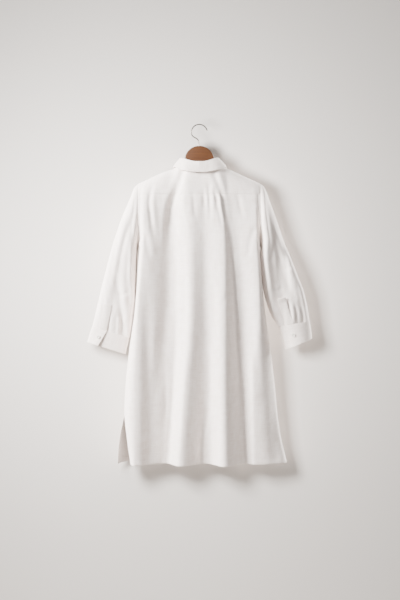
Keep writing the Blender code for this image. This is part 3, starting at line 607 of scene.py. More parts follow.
print("shoulder seam angle", round(SHOULDER_SEAM_ANGLE, 1))

# %% [markdown]
# ## The sleeves' and cuffs' form
# A sleeve is a tube of ovals between its outer and inner edges, from the armhole to the cuff. A
# cuff is a stiff band that goes once round on a slight spiral, so that its end lies over its start.

# %% Sleeve and cuff surfaces
SLEEVE_COLUMNS = ("outer_x", "outer_drop", "inner_x", "inner_drop", "half_depth")
SLEEVES = {
    "right": (
        (204.15, 198.9, 204.15, 411.2, 42.0),
        (219.0, 212.0, 207.5, 413.5, 46.0),
        (241.0, 268.0, 209.0, 418.0, 50.0),
        (274.0, 362.0, 209.5, 428.0, 50.0),
        (303.0, 445.0, 211.5, 458.0, 46.0),
        (331.0, 512.0, 217.0, 524.0, 42.0),
        (352.0, 566.0, 227.0, 585.0, 38.0),
        (365.0, 616.0, 243.0, 641.0, 34.0),
        (372.5, 663.5, 266.5, 681.0, 31.0),
    ),
    "left": (
        (204.15, 198.9, 204.15, 411.2, 42.0),
        (217.0, 210.0, 207.5, 413.5, 46.0),
        (236.0, 256.0, 210.0, 418.0, 50.0),
        (268.0, 332.0, 212.0, 428.0, 50.0),
        (298.0, 427.0, 214.0, 458.0, 46.0),
        (320.0, 510.0, 216.0, 528.0, 39.0),
        (340.0, 593.0, 221.0, 614.0, 30.0),
        (351.0, 640.0, 228.0, 668.0, 22.0),
        (361.0, 681.0, 238.0, 720.0, 14.0),
    ),
}
CUFF_COLUMNS = (*SLEEVE_COLUMNS, "seam_turn", "edge_turn", "flare")
CUFFS = {
    "right": (380.5, 722.0, 291.0, 759.0, 36.0, 119.0, 119.0, 0.0),
    "left": (378.0, 735.0, 250.0, 776.0, 13.0, 79.0, 66.0, 5.0),
}
FRONT_SLEEVE_FOLDS = ((256.0, 26.0, -8.0, -8.0), (310.0, 26.0, 5.0, 5.0))
SLEEVE_FOLDS = {
    # turn in degrees from the outer edge past the back, half width, height above and below the elbow
    "left": (
        (44.0, 20.0, 3.0, 3.0),
        (84.0, 16.0, -6.0, -6.0),
        (146.0, 20.0, 10.0, 8.0),
        (208.0, 22.0, 4.0, 4.0),
        *FRONT_SLEEVE_FOLDS,
    ),
    "right": (
        (38.0, 20.0, -4.0, 6.0),
        (72.0, 22.0, -8.0, -11.0),
        (150.0, 26.0, 11.0, 11.0),
        (208.0, 22.0, 4.0, 4.0),
        *FRONT_SLEEVE_FOLDS,
    ),
}
CUFF_SPIRAL = 1.4
CUFF_OVERLAP = 24.0
SLEEVE_SEAM_SHARE = 0.008
HAND = {"left": -1.0, "right": 1.0}
SLEEVE_LINES = {
    hand: dict(zip(SLEEVE_COLUMNS, (Line(range(len(rows)), column) for column in zip(*rows))))
    for hand, rows in SLEEVES.items()
}
LAST_ROW = len(SLEEVES["left"]) - 1


def ring_point(hand, outer, inner, half_depth, turn, lift=0.0):
    """Point of an oval. Turn is 0 at the outer end and 90 at the back."""
    a = math.radians(turn)
    point = (outer + inner) / 2 + (outer - inner) / 2 * math.cos(a)
    point.y -= half_depth * math.sin(a)
    width = (outer - inner).length / 2
    away = (outer - inner).normalized() * math.cos(a) * half_depth + Vector((0, -math.sin(a) * width, 0))
    point += away.normalized() * lift
    return Vector((HAND[hand] * point.x, point.y, point.z))


def sleeve_point(hand, turn, row):
    line = SLEEVE_LINES[hand]
    outer = Vector((line["outer_x"](row), 0.0, -line["outer_drop"](row)))
    inner = Vector((line["inner_x"](row), 0.0, -line["inner_drop"](row)))
    fade = ease(0.6, 3.0, row) * between(1.0, 0.25, ease(LAST_ROW - 2.6, LAST_ROW - 0.4, row))
    elbow = ease(2.5, 5.0, row)
    lift = 0.0
    for centre, width, above, below in SLEEVE_FOLDS[hand]:
        lift += fade * between(above, below, elbow) * turn_bump(turn, centre, width)
    return ring_point(hand, outer, inner, line["half_depth"](row), turn, float(lift))


def cuff_ends(hand, share):
    seam = dict(zip(SLEEVE_COLUMNS, SLEEVES[hand][-1]))
    edge = dict(zip(CUFF_COLUMNS, CUFFS[hand]))
    at = {key: between(seam[key], edge[key], share) for key in SLEEVE_COLUMNS}
    outer = Vector((at["outer_x"], 0.0, -at["outer_drop"]))
    inner = Vector((at["inner_x"], 0.0, -at["inner_drop"]))
    opening = between(edge["seam_turn"], edge["edge_turn"], share)
    return outer, inner, at["half_depth"], opening, edge["flare"] * share


def cuff_point(hand, along, share):
    """Along is 0 at the end that lies inside and 1 at the end outside. Share is 0 at the seam."""
    outer, inner, half_depth, opening, flare = cuff_ends(hand, share)
    overlap_turn = math.degrees(CUFF_OVERLAP / ((outer - inner).length / 2))
    turn = between(opening - overlap_turn, opening + 360, along)
    lift = between(-CUFF_SPIRAL, CUFF_SPIRAL, along) + flare * float(ease(0.86, 1.0, along)) ** 2
    return ring_point(hand, outer, inner, half_depth, turn, lift)


print("sleeve rows", LAST_ROW + 1)

# %% [markdown]
# ## The collar's form
# A shirt collar has two pieces: a stand that rises from the neck seam and a leaf that rolls over
# the stand's upper edge and falls outside it. Both follow the neck seam round.

# %% Collar surfaces
STAND_SPIRAL = 1.5
STAND_OVERLAP_TURN = 11.0
LEAF_FRONT_TURN = 172.0
LEAF_SIDE_SHIFT = 2.0
LEAF_ROLL = 3.2
ROLL_SHARE = 0.3
STAND_SHAPE = ((0.0, 27.0, 2.0), (90.0, 22.0, 14.0), (135.0, 23.0, 3.5), (191.0, 25.0, 2.0))
LEAF_EDGE = (
    # turn at the fold, turn at the free edge, reach out, drop below the neck seam
    (0.0, 0.0, 9.5, 3.5),
    (20.0, 20.0, 11.0, 6.5),
    (45.0, 45.0, 14.0, 10.5),
    (70.0, 70.0, 15.0, 3.0),
    (90.0, 89.0, 11.5, -2.5),
    (108.0, 105.0, 15.0, 3.0),
    (125.0, 118.0, 18.0, 17.0),
    (150.0, 134.0, 20.0, 40.0),
    (LEAF_FRONT_TURN, 143.0, 22.0, 58.0),
)
STAND_HEIGHT, STAND_LEAN = table_lines(STAND_SHAPE)
LEAF_LINES = table_lines(LEAF_EDGE)


def neck_point(angle):
    return over_shoulder(*neck_turn(angle))


def neck_outwards(angle):
    if abs(angle) > 176:
        return Vector((0, 1, 0))
    along = neck_point(min(180.0, angle + 1.5)) - neck_point(max(-180.0, angle - 1.5))
    out = Vector((along.y, -along.x, 0)).normalized()
    return out if out.dot(neck_point(angle) - Vector((0, 4 * MM, 0))) > 0 else -out


def stand_point(angle, share):
    turn = (angle + 180) % 360 - 180
    seam = neck_point(turn) + Vector((0, 0, CLOTH / 2 + SEAM_GAP + 0.1))
    offset = STAND_SPIRAL * angle / 180 - STAND_LEAN(abs(angle)) * share
    return seam + neck_outwards(turn) * offset + Vector((0, 0, STAND_HEIGHT(abs(angle)) * share))


def leaf_point(angle, share):
    fold = abs(angle)
    edge_turn, reach, drop = (line(fold) for line in LEAF_LINES)
    top = stand_point(angle, 1.0) + Vector((0, 0, SEAM_GAP + 0.2))
    out = neck_outwards(angle)
    roll_centre = top + out * LEAF_ROLL + Vector((0, 0, 1.0))
    edge_angle = math.copysign(edge_turn, angle)
    free = neck_point(edge_angle) + neck_outwards(edge_angle) * reach
    free.z -= drop
    free.x += LEAF_SIDE_SHIFT * float(ease(10, 60, fold))
    if share < ROLL_SHARE:
        a = math.pi * (1 - share / ROLL_SHARE)
        return roll_centre + out * LEAF_ROLL * math.cos(a) + Vector((0, 0, LEAF_ROLL * math.sin(a)))
    start = roll_centre + out * LEAF_ROLL
    fall = (share - ROLL_SHARE) / (1 - ROLL_SHARE)
    swell = (free - start).length * 0.06
    return start.lerp(free, fall) + out * swell * math.sin(math.pi * fall) * (1 - 0.6 * fall)


print("collar height at centre back", round((leaf_point(0, ROLL_SHARE / 2) - leaf_point(0, 1)).z, 1), "mm")


# %% [markdown]
# ## Creases and crumple
# Besides its folds, cloth has finer creases: a trough pressed in with a soft ridge at its side.
# Each is drawn as a short path seen from behind or before, with a depth that dies away at both
# ends. The crumple between them is a low noise, longer down the cloth than across it.

# %% Creases
RIDGE_HEIGHT = 0.42
RIDGE_AWAY = 1.7
RIDGE_WIDTH = 1.2
def crease(x, drop, path, depth, half_width):
    """Depth of one crease at arrays of places. Its path is a few (x, drop) points."""
    points = np.array(path, float)
    lengths = np.hypot(*np.diff(points, axis=0).T)
    ends = np.concatenate([[0.0], np.cumsum(lengths)]) / lengths.sum()
    nearest = np.full(x.shape, 1e9)
    aside = np.zeros(x.shape)
    along = np.zeros(x.shape)
    for k, (a, b) in enumerate(zip(points, points[1:])):
        run = (b - a) / lengths[k]
        t = np.clip(((x - a[0]) * run[0] + (drop - a[1]) * run[1]) / lengths[k], 0, 1)
        dx = x - (a[0] + (b[0] - a[0]) * t)
        dz = drop - (a[1] + (b[1] - a[1]) * t)
        far = np.hypot(dx, dz)
        closer = far < nearest
        nearest = np.where(closer, far, nearest)
        aside = np.where(closer, np.sign(dx * run[1] - dz * run[0]) * far, aside)
        along = np.where(closer, between(ends[k], ends[k + 1], t), along)
    fade = ease(0.0, 0.3, along) * ease(1.0, 0.6, along)
    q = aside / half_width
    ridge = np.exp(-(((q - RIDGE_AWAY) / RIDGE_WIDTH) ** 2)) * RIDGE_HEIGHT
    return depth * fade * (ridge - np.exp(-q * q))


def crumple(places, height):
    """Low uneven relief of washed linen, from noise read at the places in millimetres."""
    flat = places.reshape(-1, 3)
    made = np.empty(len(flat))
    for k, (x, y, z) in enumerate(flat):
        large = noise.noise(Vector((x / 42, y / 42, z / 74)))
        middle = noise.noise(Vector((x / 17 + 9, y / 17, z / 26)))
        small = noise.noise(Vector((x / 7, y / 7 + 5, z / 10)))
        made[k] = large * 0.9 + (0.25 - abs(middle)) * 0.55 + small * 0.16
    return height * made.reshape(places.shape[:2])


# Creases seen from each side: depth, half width, path of (x, drop). A negative depth is a ridge, and a
# negative half width puts the crease's soft ridge on its other side.
BODY_CREASES = {
    "back": (
        (3.6, 7.0, ((-150, 190), (-162, 232), (-166, 270), (-160, 330), (-150, 400))),
        (4.4, 20.0, (
            (-78, -200), (-88, 240), (-102, 420), (-108, 620), (-130, 780), (-150, 930), (-150, 1500),
        )),
        (6.2, -11.0, (
            (-14, 40), (-44, 130), (-60, 178), (-73, 222), (-86, 252), (-96, 285), (-102, 340), (-106, 440),
        )),
        (3.4, 8.0, (
            (20, 50), (38, 130), (50, 174), (63, 204), (78, 257), (88, 325), (97, 370), (106, 450),
        )),
        (3.0, 6.0, ((48, 216), (57, 254), (66, 300), (78, 372))),
        (2.4, 6.0, ((33, 190), (32, 244), (35, 318))),
        (1.8, 6.0, ((14, 216), (15, 252), (18, 300))),
        (2.0, 7.0, ((-22, 226), (-20, 268), (-14, 330))),
        (1.8, 7.0, ((126, 226), (134, 276), (146, 330))),
        (2.4, 7.0, ((92, 330), (108, 430), (116, 560), (122, 700), (134, 860), (142, 1010))),
        (5.4, 17.0, ((-172, 430), (-176, 560), (-174, 720), (-170, 900), (-168, 1700))),
        (2.2, 9.0, ((196, 330), (172, 384), (158, 470))),
        (2.0, 9.0, ((-196, 336), (-176, 392), (-160, 480))),
        (1.0, 9.0, ((-50, 470), (-46, 600), (-54, 760))),
        (1.4, 10.0, ((46, 520), (50, 660), (52, 800))),
        (2.2, 9.0, ((-116, 800), (-112, 940), (-122, 1080))),
        (1.8, 10.0, ((176, 640), (182, 770), (196, 920))),
        (1.6, 9.0, ((-86, 880), (-96, 980), (-108, 1400))),
        (1.6, 9.0, ((56, 900), (58, 990), (54, 1400))),
        (5.0, 20.0, ((236, 760), (252, 960), (268, 1600))),
        (5.0, 10.0, ((26, 880), (20, 980), (8, 1080), (2, 1500))),
        (1.2, 7.0, ((-8, 700), (4, 730), (22, 746))),
        (1.2, 7.0, ((100, 560), (88, 590), (72, 604))),
        (1.1, 6.0, ((-150, 720), (-134, 742), (-114, 750))),
    ),
    "front": (
        (2.2, 8.0, ((70, 190), (88, 262), (104, 360), (118, 450))),
        (2.2, 8.0, ((-66, 196), (-90, 280), (-110, 372), (-126, 470))),
        (1.4, 7.0, ((186, 336), (160, 392), (148, 480))),
        (1.5, 7.0, ((-190, 326), (-168, 380), (-150, 462))),
        (1.3, 10.0, ((108, 560), (112, 700), (124, 840))),
        (1.3, 10.0, ((-60, 520), (-66, 640), (-72, 790))),
        (1.2, 9.0, ((-190, 700), (-204, 830), (-222, 960))),
        (1.1, 9.0, ((72, 880), (80, 980), (78, 1090))),
        (0.9, 7.0, ((26, 470), (48, 492), (66, 498))),
        (0.9, 7.0, ((-28, 640), (-52, 660), (-74, 664))),
    ),
}


def body_relief(places, side, height=0.85):
    """Creases and crumple of the body, which calm down beside the front band."""
    x, drop = places[..., 0], -places[..., 2]
    made = crumple(places, height)
    for depth, half_width, path in BODY_CREASES[side]:
        made += crease(x, drop, path, depth, half_width)
    if side == "front":
        made *= between(0.25, 1.0, ease(14, 34, np.abs(x)))
    return made


# %% [markdown]
# ## Cutting and hanging a piece of cloth
# One function makes every sewn piece. It lays a grid on the piece's surface, presses the relief
# into it, and then finishes each edge as a maker would: pushed under its neighbour, laid over
# it, or turned back as a hem. Solidify then gives the shell its thickness.

# %% Cloth maker
CELL = 4.5
SHELL = 0.6
SEAM_DIP = 0.45
SEAM_DIP_WIDTH = 2.2
UNDER_DIP = 0.55
UNDER_DIP_WIDTH = 5.0
HEM_STIFFNESS = 0.55
HEM_CALM_WIDTH = 30
HEM_OUT = 0.5
HEM_BEND = 0.65
HEM_INSIDE = 1.3
FREE_REACH = 0.4
SEWN_REACH = 2.6
SOFT_EDGE = 0.45
SLOT = {False: "white linen", True: "white linen, double"}


def even_stations(curve, low, high, cell):
    """Coordinates along a curve whose points lie about a cell apart."""
    samples = np.linspace(low, high, 500)
    places = np.array([tuple(curve(s)) for s in samples])
    length = np.concatenate([[0.0], np.cumsum(np.linalg.norm(np.diff(places, axis=0), axis=1))])
    count = max(4, int(round(length[-1] / cell)))
    return np.interp(np.linspace(0, length[-1], count + 1), length, samples)


def unit(vectors):
    return vectors / np.maximum(np.linalg.norm(vectors, axis=-1, keepdims=True), 1e-9)


def arc(places, axis):
    """Distance along one direction of a grid of places."""
    steps = np.linalg.norm(np.diff(places, axis=axis), axis=-1)
    start = np.zeros_like(np.take(steps, [0], axis=axis))
    return np.concatenate([start, np.cumsum(steps, axis=axis)], axis=axis)


def grid_normals(places, flip, closed):
    if closed:
        ring = np.concatenate([places[:, -2:-1], places, places[:, 1:2]], axis=1)
        dc = np.gradient(ring, axis=1)[:, 1:-1]
    else:
        dc = np.gradient(places, axis=1)
    return unit(np.cross(dc, np.gradient(places, axis=0))) * (-1.0 if flip else 1.0)


def by_columns(grid):
    return grid.transpose(1, 0, 2)


def finish_edge(places, normals, name, edge):
    """Adds rows or columns beyond the named edge. Edge is (kind, reach, lift)."""
    if "column" in name:
        turned = finish_edge(by_columns(places), by_columns(normals), name.replace("column", "row"), edge)
        return tuple(by_columns(grid) for grid in turned)
    kind, reach, lift = edge
    first = name == "first_row"
    at, inner = (0, 1) if first else (-1, -2)
    edge_line, edge_normal = places[at], normals[at]
    away = unit(edge_line - places[inner])
    if callable(reach):
        share = reach(edge_line)[:, None]
        reach = FREE_REACH + share * SEWN_REACH
        lift = lift * share
    if kind == "turned":
        rows = [edge_line + away * HEM_OUT - edge_normal * HEM_BEND]
        for k in range(max(1, int(round(reach / CELL))) + 1):
            i = k if first else -1 - k
            rows.append(places[i] - normals[i] * HEM_INSIDE)
    else:
        rows = [edge_line + away * reach + edge_normal * lift]
    added = [edge_normal] * len(rows)
    if first:
        return np.concatenate([rows[::-1], places]), np.concatenate([added, normals])
    return np.concatenate([places, rows]), np.concatenate([normals, added])


def press_edge(relief, places, edges, seams):
    """Sinks the cloth a little where it goes under a neighbour and along each line of stitches."""
    down, side = arc(places, 0), arc(places, 1)
    distance = {
        "first_row": down,
        "last_row": down[-1:] - down,
        "first_column": side,
        "last_column": side[:, -1:] - side,
    }
    for name, (kind, _, _) in edges.items():
        if kind == "under":
            relief = relief - UNDER_DIP * np.exp(-((distance[name] / UNDER_DIP_WIDTH) ** 2))
        if kind == "turned":
            relief = relief * between(HEM_STIFFNESS, 1.0, ease(0, HEM_CALM_WIDTH, distance[name]))
    for name, away, *_ in seams:
        relief = relief - SEAM_DIP * np.exp(-(((distance[name] - away) / SEAM_DIP_WIDTH) ** 2))
    return relief


def mesh_object(name, mesh, material):
    data = bpy.data.meshes.new(name)
    mesh.to_mesh(data)
    mesh.free()
    data.shade_smooth()
    data.materials.append(material)
    return add_object(name, data)


def hang(piece, slot, *nodes):
    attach(piece, "root")
    if nodes:
        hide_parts(*nodes)
    return piece


PIECES = {}
SEAMS = {}


def cloth(name, node, surface, columns, rows, lift=CLOTH / 2, thickness=SHELL, relief=None, edges=None,
          seams=(), flip=False, closed=False, double=False):
    """Makes one sewn piece, with its outer face lifted from the surface, and keeps its grid."""
    edges = edges or {}
    base = np.array([[tuple(surface(c, r)) for c in columns] for r in rows])
    normals = grid_normals(base, flip, closed)
    raised = relief(base) if relief else np.zeros(base.shape[:2])
    raised = press_edge(raised, base, edges, seams)
    if closed:
        raised[:, -1] = raised[:, 0]
    places = base + normals * (raised + lift)[..., None]
    PIECES[name] = (places, grid_normals(places, flip, closed))
    SEAMS[name] = seams
    placed, faced = places, normals
    for edge in ("first_row", "last_row", "first_column", "last_column"):
        if edge in edges:
            placed, faced = finish_edge(placed, faced, edge, edges[edge])

    count_r, count_c = placed.shape[:2]
    threads = np.stack([arc(placed, 1), -arc(placed, 0)], axis=-1) * MM
    threads[..., 0] -= threads[:, count_c // 2, 0][:, None]
    mesh = bmesh.new()
    bmesh.ops.create_grid(mesh, x_segments=count_c - 1, y_segments=count_r - 1, size=0.5)
    uv = mesh.loops.layers.uv.new("UVMap")
    at = {}
    for vertex in mesh.verts:
        j = round((vertex.co.x + 0.5) * (count_c - 1))
        i = round((vertex.co.y + 0.5) * (count_r - 1))
        at[vertex] = (i, j)
        vertex.co = Vector(placed[i, j]) * MM
    for face in mesh.faces:
        for loop in face.loops:
            loop[uv].uv = threads[at[loop.vert]]
    if closed:
        seam = [v for v, (i, j) in at.items() if j in (0, count_c - 1)]
        bmesh.ops.remove_doubles(mesh, verts=seam, dist=1e-6)
    if flip:
        bmesh.ops.reverse_faces(mesh, faces=mesh.faces)
    sum(face.calc_area() for face in mesh.faces)
    made = mesh_object(name, mesh, DOUBLE_LINEN_WITH_PAINTED_SHADE if double else LINEN)
    shell = made.modifiers.new("thickness", "SOLIDIFY")
    shell.thickness = thickness * MM
    shell.offset = -1.0
    shell.use_quality_normals = True
    if double:
        soft = made.modifiers.new("soft edges", "BEVEL")
        soft.width = SOFT_EDGE * MM
        soft.segments = 2
        soft.limit_method = "ANGLE"
        soft.angle_limit = math.radians(60)
    hang(made, SLOT[double], node)


# %% [markdown]
# ## The back
# The back is one wide panel of linen. Its top edge goes under the yoke, its sides carry the seam
# allowance turned inside, and its hem is folded up 18 mm.

# %% Back
HEM = 18.0
HEMMED = ("turned", HEM, 0.0)
ALLOWANCE = ("turned", 9.0, 0.0)
BACK_LENGTH = HEM_DROP["back"] - YOKE_SEAM_DROP
ARMHOLE_SHARE = (UNDERARM_DROP - YOKE_SEAM_DROP) / BACK_LENGTH
VENT_SHARE = (VENT_TOP_DROP - YOKE_SEAM_DROP) / BACK_LENGTH
cloth(
    "back_panel",
    "back",
    back_point,
    even_stations(lambda u: back_point(u, 634.0), 0.0, 8.0, CELL),
    even_stations(lambda drop: back_point(2.0, drop), YOKE_SEAM_DROP + HALF_GAP, HEM_DROP["back"], CELL),
    relief=lambda places: body_relief(places, "back"),
    edges={
        "first_row": ("under", 4.0, -1.0),
        "last_row": HEMMED,
        "first_column": ALLOWANCE,
        "last_column": ALLOWANCE,
    },
    seams=(
        ("last_row", HEM),
        ("first_column", 7.0, 0.0, ARMHOLE_SHARE),
        ("last_column", 7.0, 0.0, ARMHOLE_SHARE),
        ("first_column", 8.0, VENT_SHARE, 1.0),
        ("last_column", 8.0, VENT_SHARE, 1.0),
    ),
    flip=True,
)

# %% [markdown]
# ## The yoke
# The yoke is cut across the shoulders. Its lower edge is folded under and sewn over the back, and
# it goes over the shoulders to its seam with the fronts.

# %% Yoke
cloth(
    "yoke_panel",
    "yoke",
    yoke_point,
    even_stations(lambda u: yoke_point(u, 0.0), 0.0, 8.0, CELL),
    even_stations(lambda share: yoke_point(1.0, share), 0.0, 1.0, CELL * 0.9),
    relief=lambda places: body_relief(places, "back", 0.6),
    edges={
        "first_row": ("over", 1.2, 0.15),
        "last_row": ("over", 1.2, 0.1),
        "first_column": ALLOWANCE,
        "last_column": ALLOWANCE,
    },
    seams=(("first_row", 2.5), ("last_row", 2.5), ("first_column", 7.0), ("last_column", 7.0)),
)


# %% [markdown]
# ## The fronts and the band
# The two fronts meet under a folded band. The wearer's right side carries the band with the
# buttonholes, and lies over the left side, which carries the buttons.

# %% Fronts and band
# The band's half gap at its edge, in columns, and the shares of a front's side edge.
BAND_GAP = 0.008
FRONT_ARMHOLE_SHARES = (0.1, 0.36)
FRONT_VENT_SHARES = (0.845, 1.0)
def above_vent(edge_line):
    """1 where a side edge is sewn and 0 where it hangs free at the vent."""
    return ease(VENT_TOP_DROP + 4, VENT_TOP_DROP - 4, -edge_line[:, 2])


def beside_neck(edge_line):
    return ease(76.0, 82.0, np.abs(edge_line[:, 0]))


front_rows = [
    *even_stations(lambda row: front_point(9.5, row), 0.0, 1.0, CELL)[:-1],
    *even_stations(lambda row: front_point(5.5, row), 1.0, 2.0, CELL),
]
for hand, low, high in (("left", 0.0, BAND_EDGE - BAND_GAP), ("right", BAND_EDGE + BAND_GAP, 11.0)):
    outer_edge = "first_column" if hand == "left" else "last_column"
    cloth(
        f"front_panel_{hand}",
        f"front_{hand}",
        front_point,
        even_stations(lambda u: front_point(u, 1.4), low, high, CELL),
        front_rows,
        relief=lambda places: body_relief(places, "front"),
        edges={
            "first_row": ("under", beside_neck, -1.0),
            "last_row": HEMMED,
            outer_edge: ("under", above_vent, -1.2),
        },
        seams=(
            ("last_row", HEM),
            (outer_edge, 7.0, *FRONT_ARMHOLE_SHARES),
            (outer_edge, 8.0, *FRONT_VENT_SHARES),
        ),
    )

BAND_LIFT = CLOTH * 1.5 + SEAM_GAP
cloth(
    "front_band_strip",
    "front_band",
    front_point,
    even_stations(lambda u: front_point(u, 1.4), BAND_EDGE - 1, BAND_SEWN_EDGE, 3.2),
    front_rows,
    lift=BAND_LIFT,
    thickness=1.5,
    relief=lambda places: body_relief(places, "front"),
    seams=(("first_column", 3.0), ("last_column", 3.0)),
    double=True,
)

# %% [markdown]
# ## The sleeves
# Each sleeve is set in at the armhole, where it goes under the body's turned edge. Its fullness
# falls in two or three long folds, with drag lines at the elbow, and is pleated into the cuff.

# %% Sleeves
SLEEVE_CREASES = {
    "left": {
        "back": (
            (2.6, 7.0, ((-209, 220), (-218, 300), (-226, 380), (-234, 470))),
            (2.0, 8.0, ((-252, 300), (-276, 400), (-296, 500), (-310, 590))),
            (2.2, 7.0, ((-222, 470), (-232, 560), (-240, 660))),
            (1.8, 6.0, ((-322, 560), (-322, 620), (-332, 700))),
            (-5.0, 7.0, ((-222, 350), (-229, 430), (-231, 500), (-229, 560), (-222, 630))),
            (6.4, 11.0, ((-272, 500), (-266, 600), (-258, 670), (-250, 800))),
            (2.6, 4.5, ((-258, 640), (-260, 676), (-264, 730))),
            (2.6, 4.5, ((-276, 630), (-280, 670), (-284, 730))),
            (2.4, 4.5, ((-300, 630), (-304, 664), (-310, 720))),
            (1.6, 6.0, ((-232, 560), (-252, 576), (-278, 572))),
            (1.4, 6.0, ((-304, 480), (-286, 502), (-264, 510))),
            (1.4, 6.0, ((-246, 640), (-262, 652), (-280, 648))),
        ),
        "front": (
            (2.2, 9.0, ((-220, 290), (-236, 380), (-256, 480), (-276, 590))),
            (1.8, 8.0, ((-290, 470), (-300, 560), (-312, 650))),
            (1.4, 5.0, ((-270, 640), (-274, 680), (-278, 704))),
            (1.0, 6.0, ((-232, 540), (-254, 556), (-280, 552))),
        ),
    },
    "right": {
        "back": (
            (-8.0, 10.0, (
                (206, 170), (214, 291), (227, 391), (225, 459), (234, 526), (241, 593), (249, 670),
            )),
            (2.6, 7.0, ((262, 330), (284, 420), (296, 520), (300, 600))),
            (8.0, 18.0, ((256, 400), (272, 530), (282, 610), (288, 740))),
            (2.0, 7.0, ((322, 520), (338, 590), (348, 650))),
            (3.0, 5.0, ((296, 590), (304, 636), (308, 690))),
            (2.6, 4.5, ((318, 600), (326, 640), (330, 690))),
            (2.4, 4.5, ((340, 606), (348, 640), (352, 690))),
            (2.4, 4.5, ((276, 610), (284, 650), (288, 700))),
            (1.6, 6.0, ((240, 548), (262, 560), (290, 552))),
            (1.4, 6.0, ((318, 470), (300, 484), (276, 486))),
            (1.4, 6.0, ((262, 590), (284, 600), (304, 594))),
        ),
        "front": (
            (2.2, 9.0, ((222, 280), (240, 370), (262, 470), (288, 580))),
            (1.8, 8.0, ((300, 450), (318, 540), (332, 630))),
            (1.4, 5.0, ((302, 610), (308, 640), (310, 668))),
            (1.0, 6.0, ((236, 530), (262, 548), (292, 540))),
        ),
    },
}
# The placket is two of the solid sleeve's 28 columns wide.
PLACKET_TURN = 360.0 / 28 * 2


def sleeve_relief(places, hand):
    """Creases on the two sides, fading where the cloth turns round the sleeve's edges."""
    x, y, drop = places[..., 0], places[..., 1], -places[..., 2]
    made = crumple(places, 0.85)
    for seen, creases in SLEEVE_CREASES[hand].items():
        facing = ease(1.0, 9.0, FACING[seen] * y)
        for depth, half_width, path in creases:
            made += crease(x, drop, path, depth, half_width) * facing
    return made * ease(0, 18, arc(places, 0))


for hand in ("left", "right"):
    opening = dict(zip(CUFF_COLUMNS, CUFFS[hand]))["seam_turn"]
    flip = hand == "left"
    point = functools.partial(sleeve_point, hand)
    rows = even_stations(lambda row: point(90.0, row), 0.0, LAST_ROW - SLEEVE_SEAM_SHARE, CELL)
    cloth(
        f"sleeve_tube_{hand}",
        f"sleeve_{hand}",
        point,
        even_stations(lambda turn: point(turn, 5.0), opening, opening + 360.0, 3.6),
        rows,
        relief=lambda places: sleeve_relief(places, hand),
        edges={"first_row": ("under", 3.0, -1.0), "last_row": ("under", 4.0, -0.9)},
        flip=flip,
        closed=True,
    )
    cloth(
        f"placket_strip_{hand}",
        f"sleeve_placket_{hand}",
        point,
        np.linspace(opening - PLACKET_TURN, opening, 7),
        np.linspace(rows[-1] * 10 / 13, rows[-1], 24),
        lift=BAND_LIFT,
        thickness=1.3,
        relief=lambda places: sleeve_relief(places, hand) * 0.4,
        seams=(("first_column", 2.5), ("last_column", 2.5), ("first_row", 2.5)),
        flip=flip,
        double=True,
    )

# %% [markdown]
# ## The cuffs
# The cuffs are two layers with a stiffening between them, so they stay smooth and hold their edges.

# %% Cuffs
for hand in ("left", "right"):
    point = functools.partial(cuff_point, hand)
    cloth(
        f"cuff_band_{hand}",
        f"cuff_{hand}",
        point,
        even_stations(lambda along: point(along, 0.5), 0.0, 1.0, 3.6),
        np.linspace(0.005, 1.0, 17),
        lift=STIFFENED / 2,
        thickness=1.6,
        relief=lambda places: crumple(places, 0.35),
        seams=(("first_row", 2.5), ("last_row", 5.0), ("last_column", 5.0)),
        flip=hand == "left",
        double=True,
    )

# %% [markdown]
# ## The collar
# Both collar pieces are doubled and stiffened too. The leaf's edge is stitched 7.5 mm in.

# %% Collar
stand_reach = 180.0 + STAND_OVERLAP_TURN
cloth(
    "collar_stand_band",
    "collar_stand",
    stand_point,
    even_stations(lambda angle: stand_point(angle, 0.0), -stand_reach, stand_reach, 3.0),
    np.linspace(0.0, 1.0, 9),
    lift=STIFFENED / 2,
    thickness=1.5,
    relief=lambda places: crumple(places, 0.15),
    seams=(("first_row", 2.0),),
    double=True,
)
cloth(
    "collar_leaf_fold",
    "collar_leaf",
    leaf_point,
    even_stations(lambda angle: leaf_point(angle, 0.15), -LEAF_FRONT_TURN, LEAF_FRONT_TURN, 3.0),
    [*np.linspace(0, ROLL_SHARE, 13)[:-1], *np.linspace(ROLL_SHARE, 1.0, 23)],
    lift=STIFFENED / 2,
    thickness=1.6,
    relief=lambda places: crumple(places, 0.7),
    seams=(("last_row", 7.5), ("first_column", 7.5), ("last_column", 7.5)),
    double=True,
)

# %% [markdown]
# ## The hanger
# The hanger is cut from a beech board and rounded along its edges. The same outline as in the
# solid is drawn more finely, extruded and bevelled. Its hook is one bent wire, swept along its
# centre line.

# %% Wooden hanger
WOOD_THICKNESS = 13.0
WOOD_TOP_DROP = 71.0
WOOD_HUMP_RADIUS = 51.0
WOOD_REACH = 196.0
WOOD_SEAT = CLOTH / 2 + 1.0
WOOD_EDGE_ROUND = 3.2
FILLET = [(66.0, 141.5), (58.0, 136.5), (53.0, 130.5)]
# Distance in from the arm's end, then drop.
TIP = ((8, 225.0), (3, 222.5), (0.6, 218.0), (0, 211.0), (0.6, 204.0))


def wood_outline():
    radius = WOOD_HUMP_RADIUS
    foot_drop = WOOD_TOP_DROP + radius
    angles = np.linspace(0, math.pi, 41)
    hump = [(radius * math.cos(a), foot_drop - radius * math.sin(a)) for a in angles]
    arm = [(x, shoulder_drop(x) + WOOD_SEAT) for x in np.linspace(WOOD_REACH - 4, 78, 24)]
    tip = [(WOOD_REACH - inwards, drop) for inwards, drop in TIP]
    under = [(x, between(182.0, 219.0, (x / WOOD_REACH) ** 1.3)) for x in np.linspace(0, 164, 18)]
    right = [*under, *tip, *arm, *FILLET]
    return [*right, *hump, *[(-x, drop) for x, drop in reversed(right[1:])]]


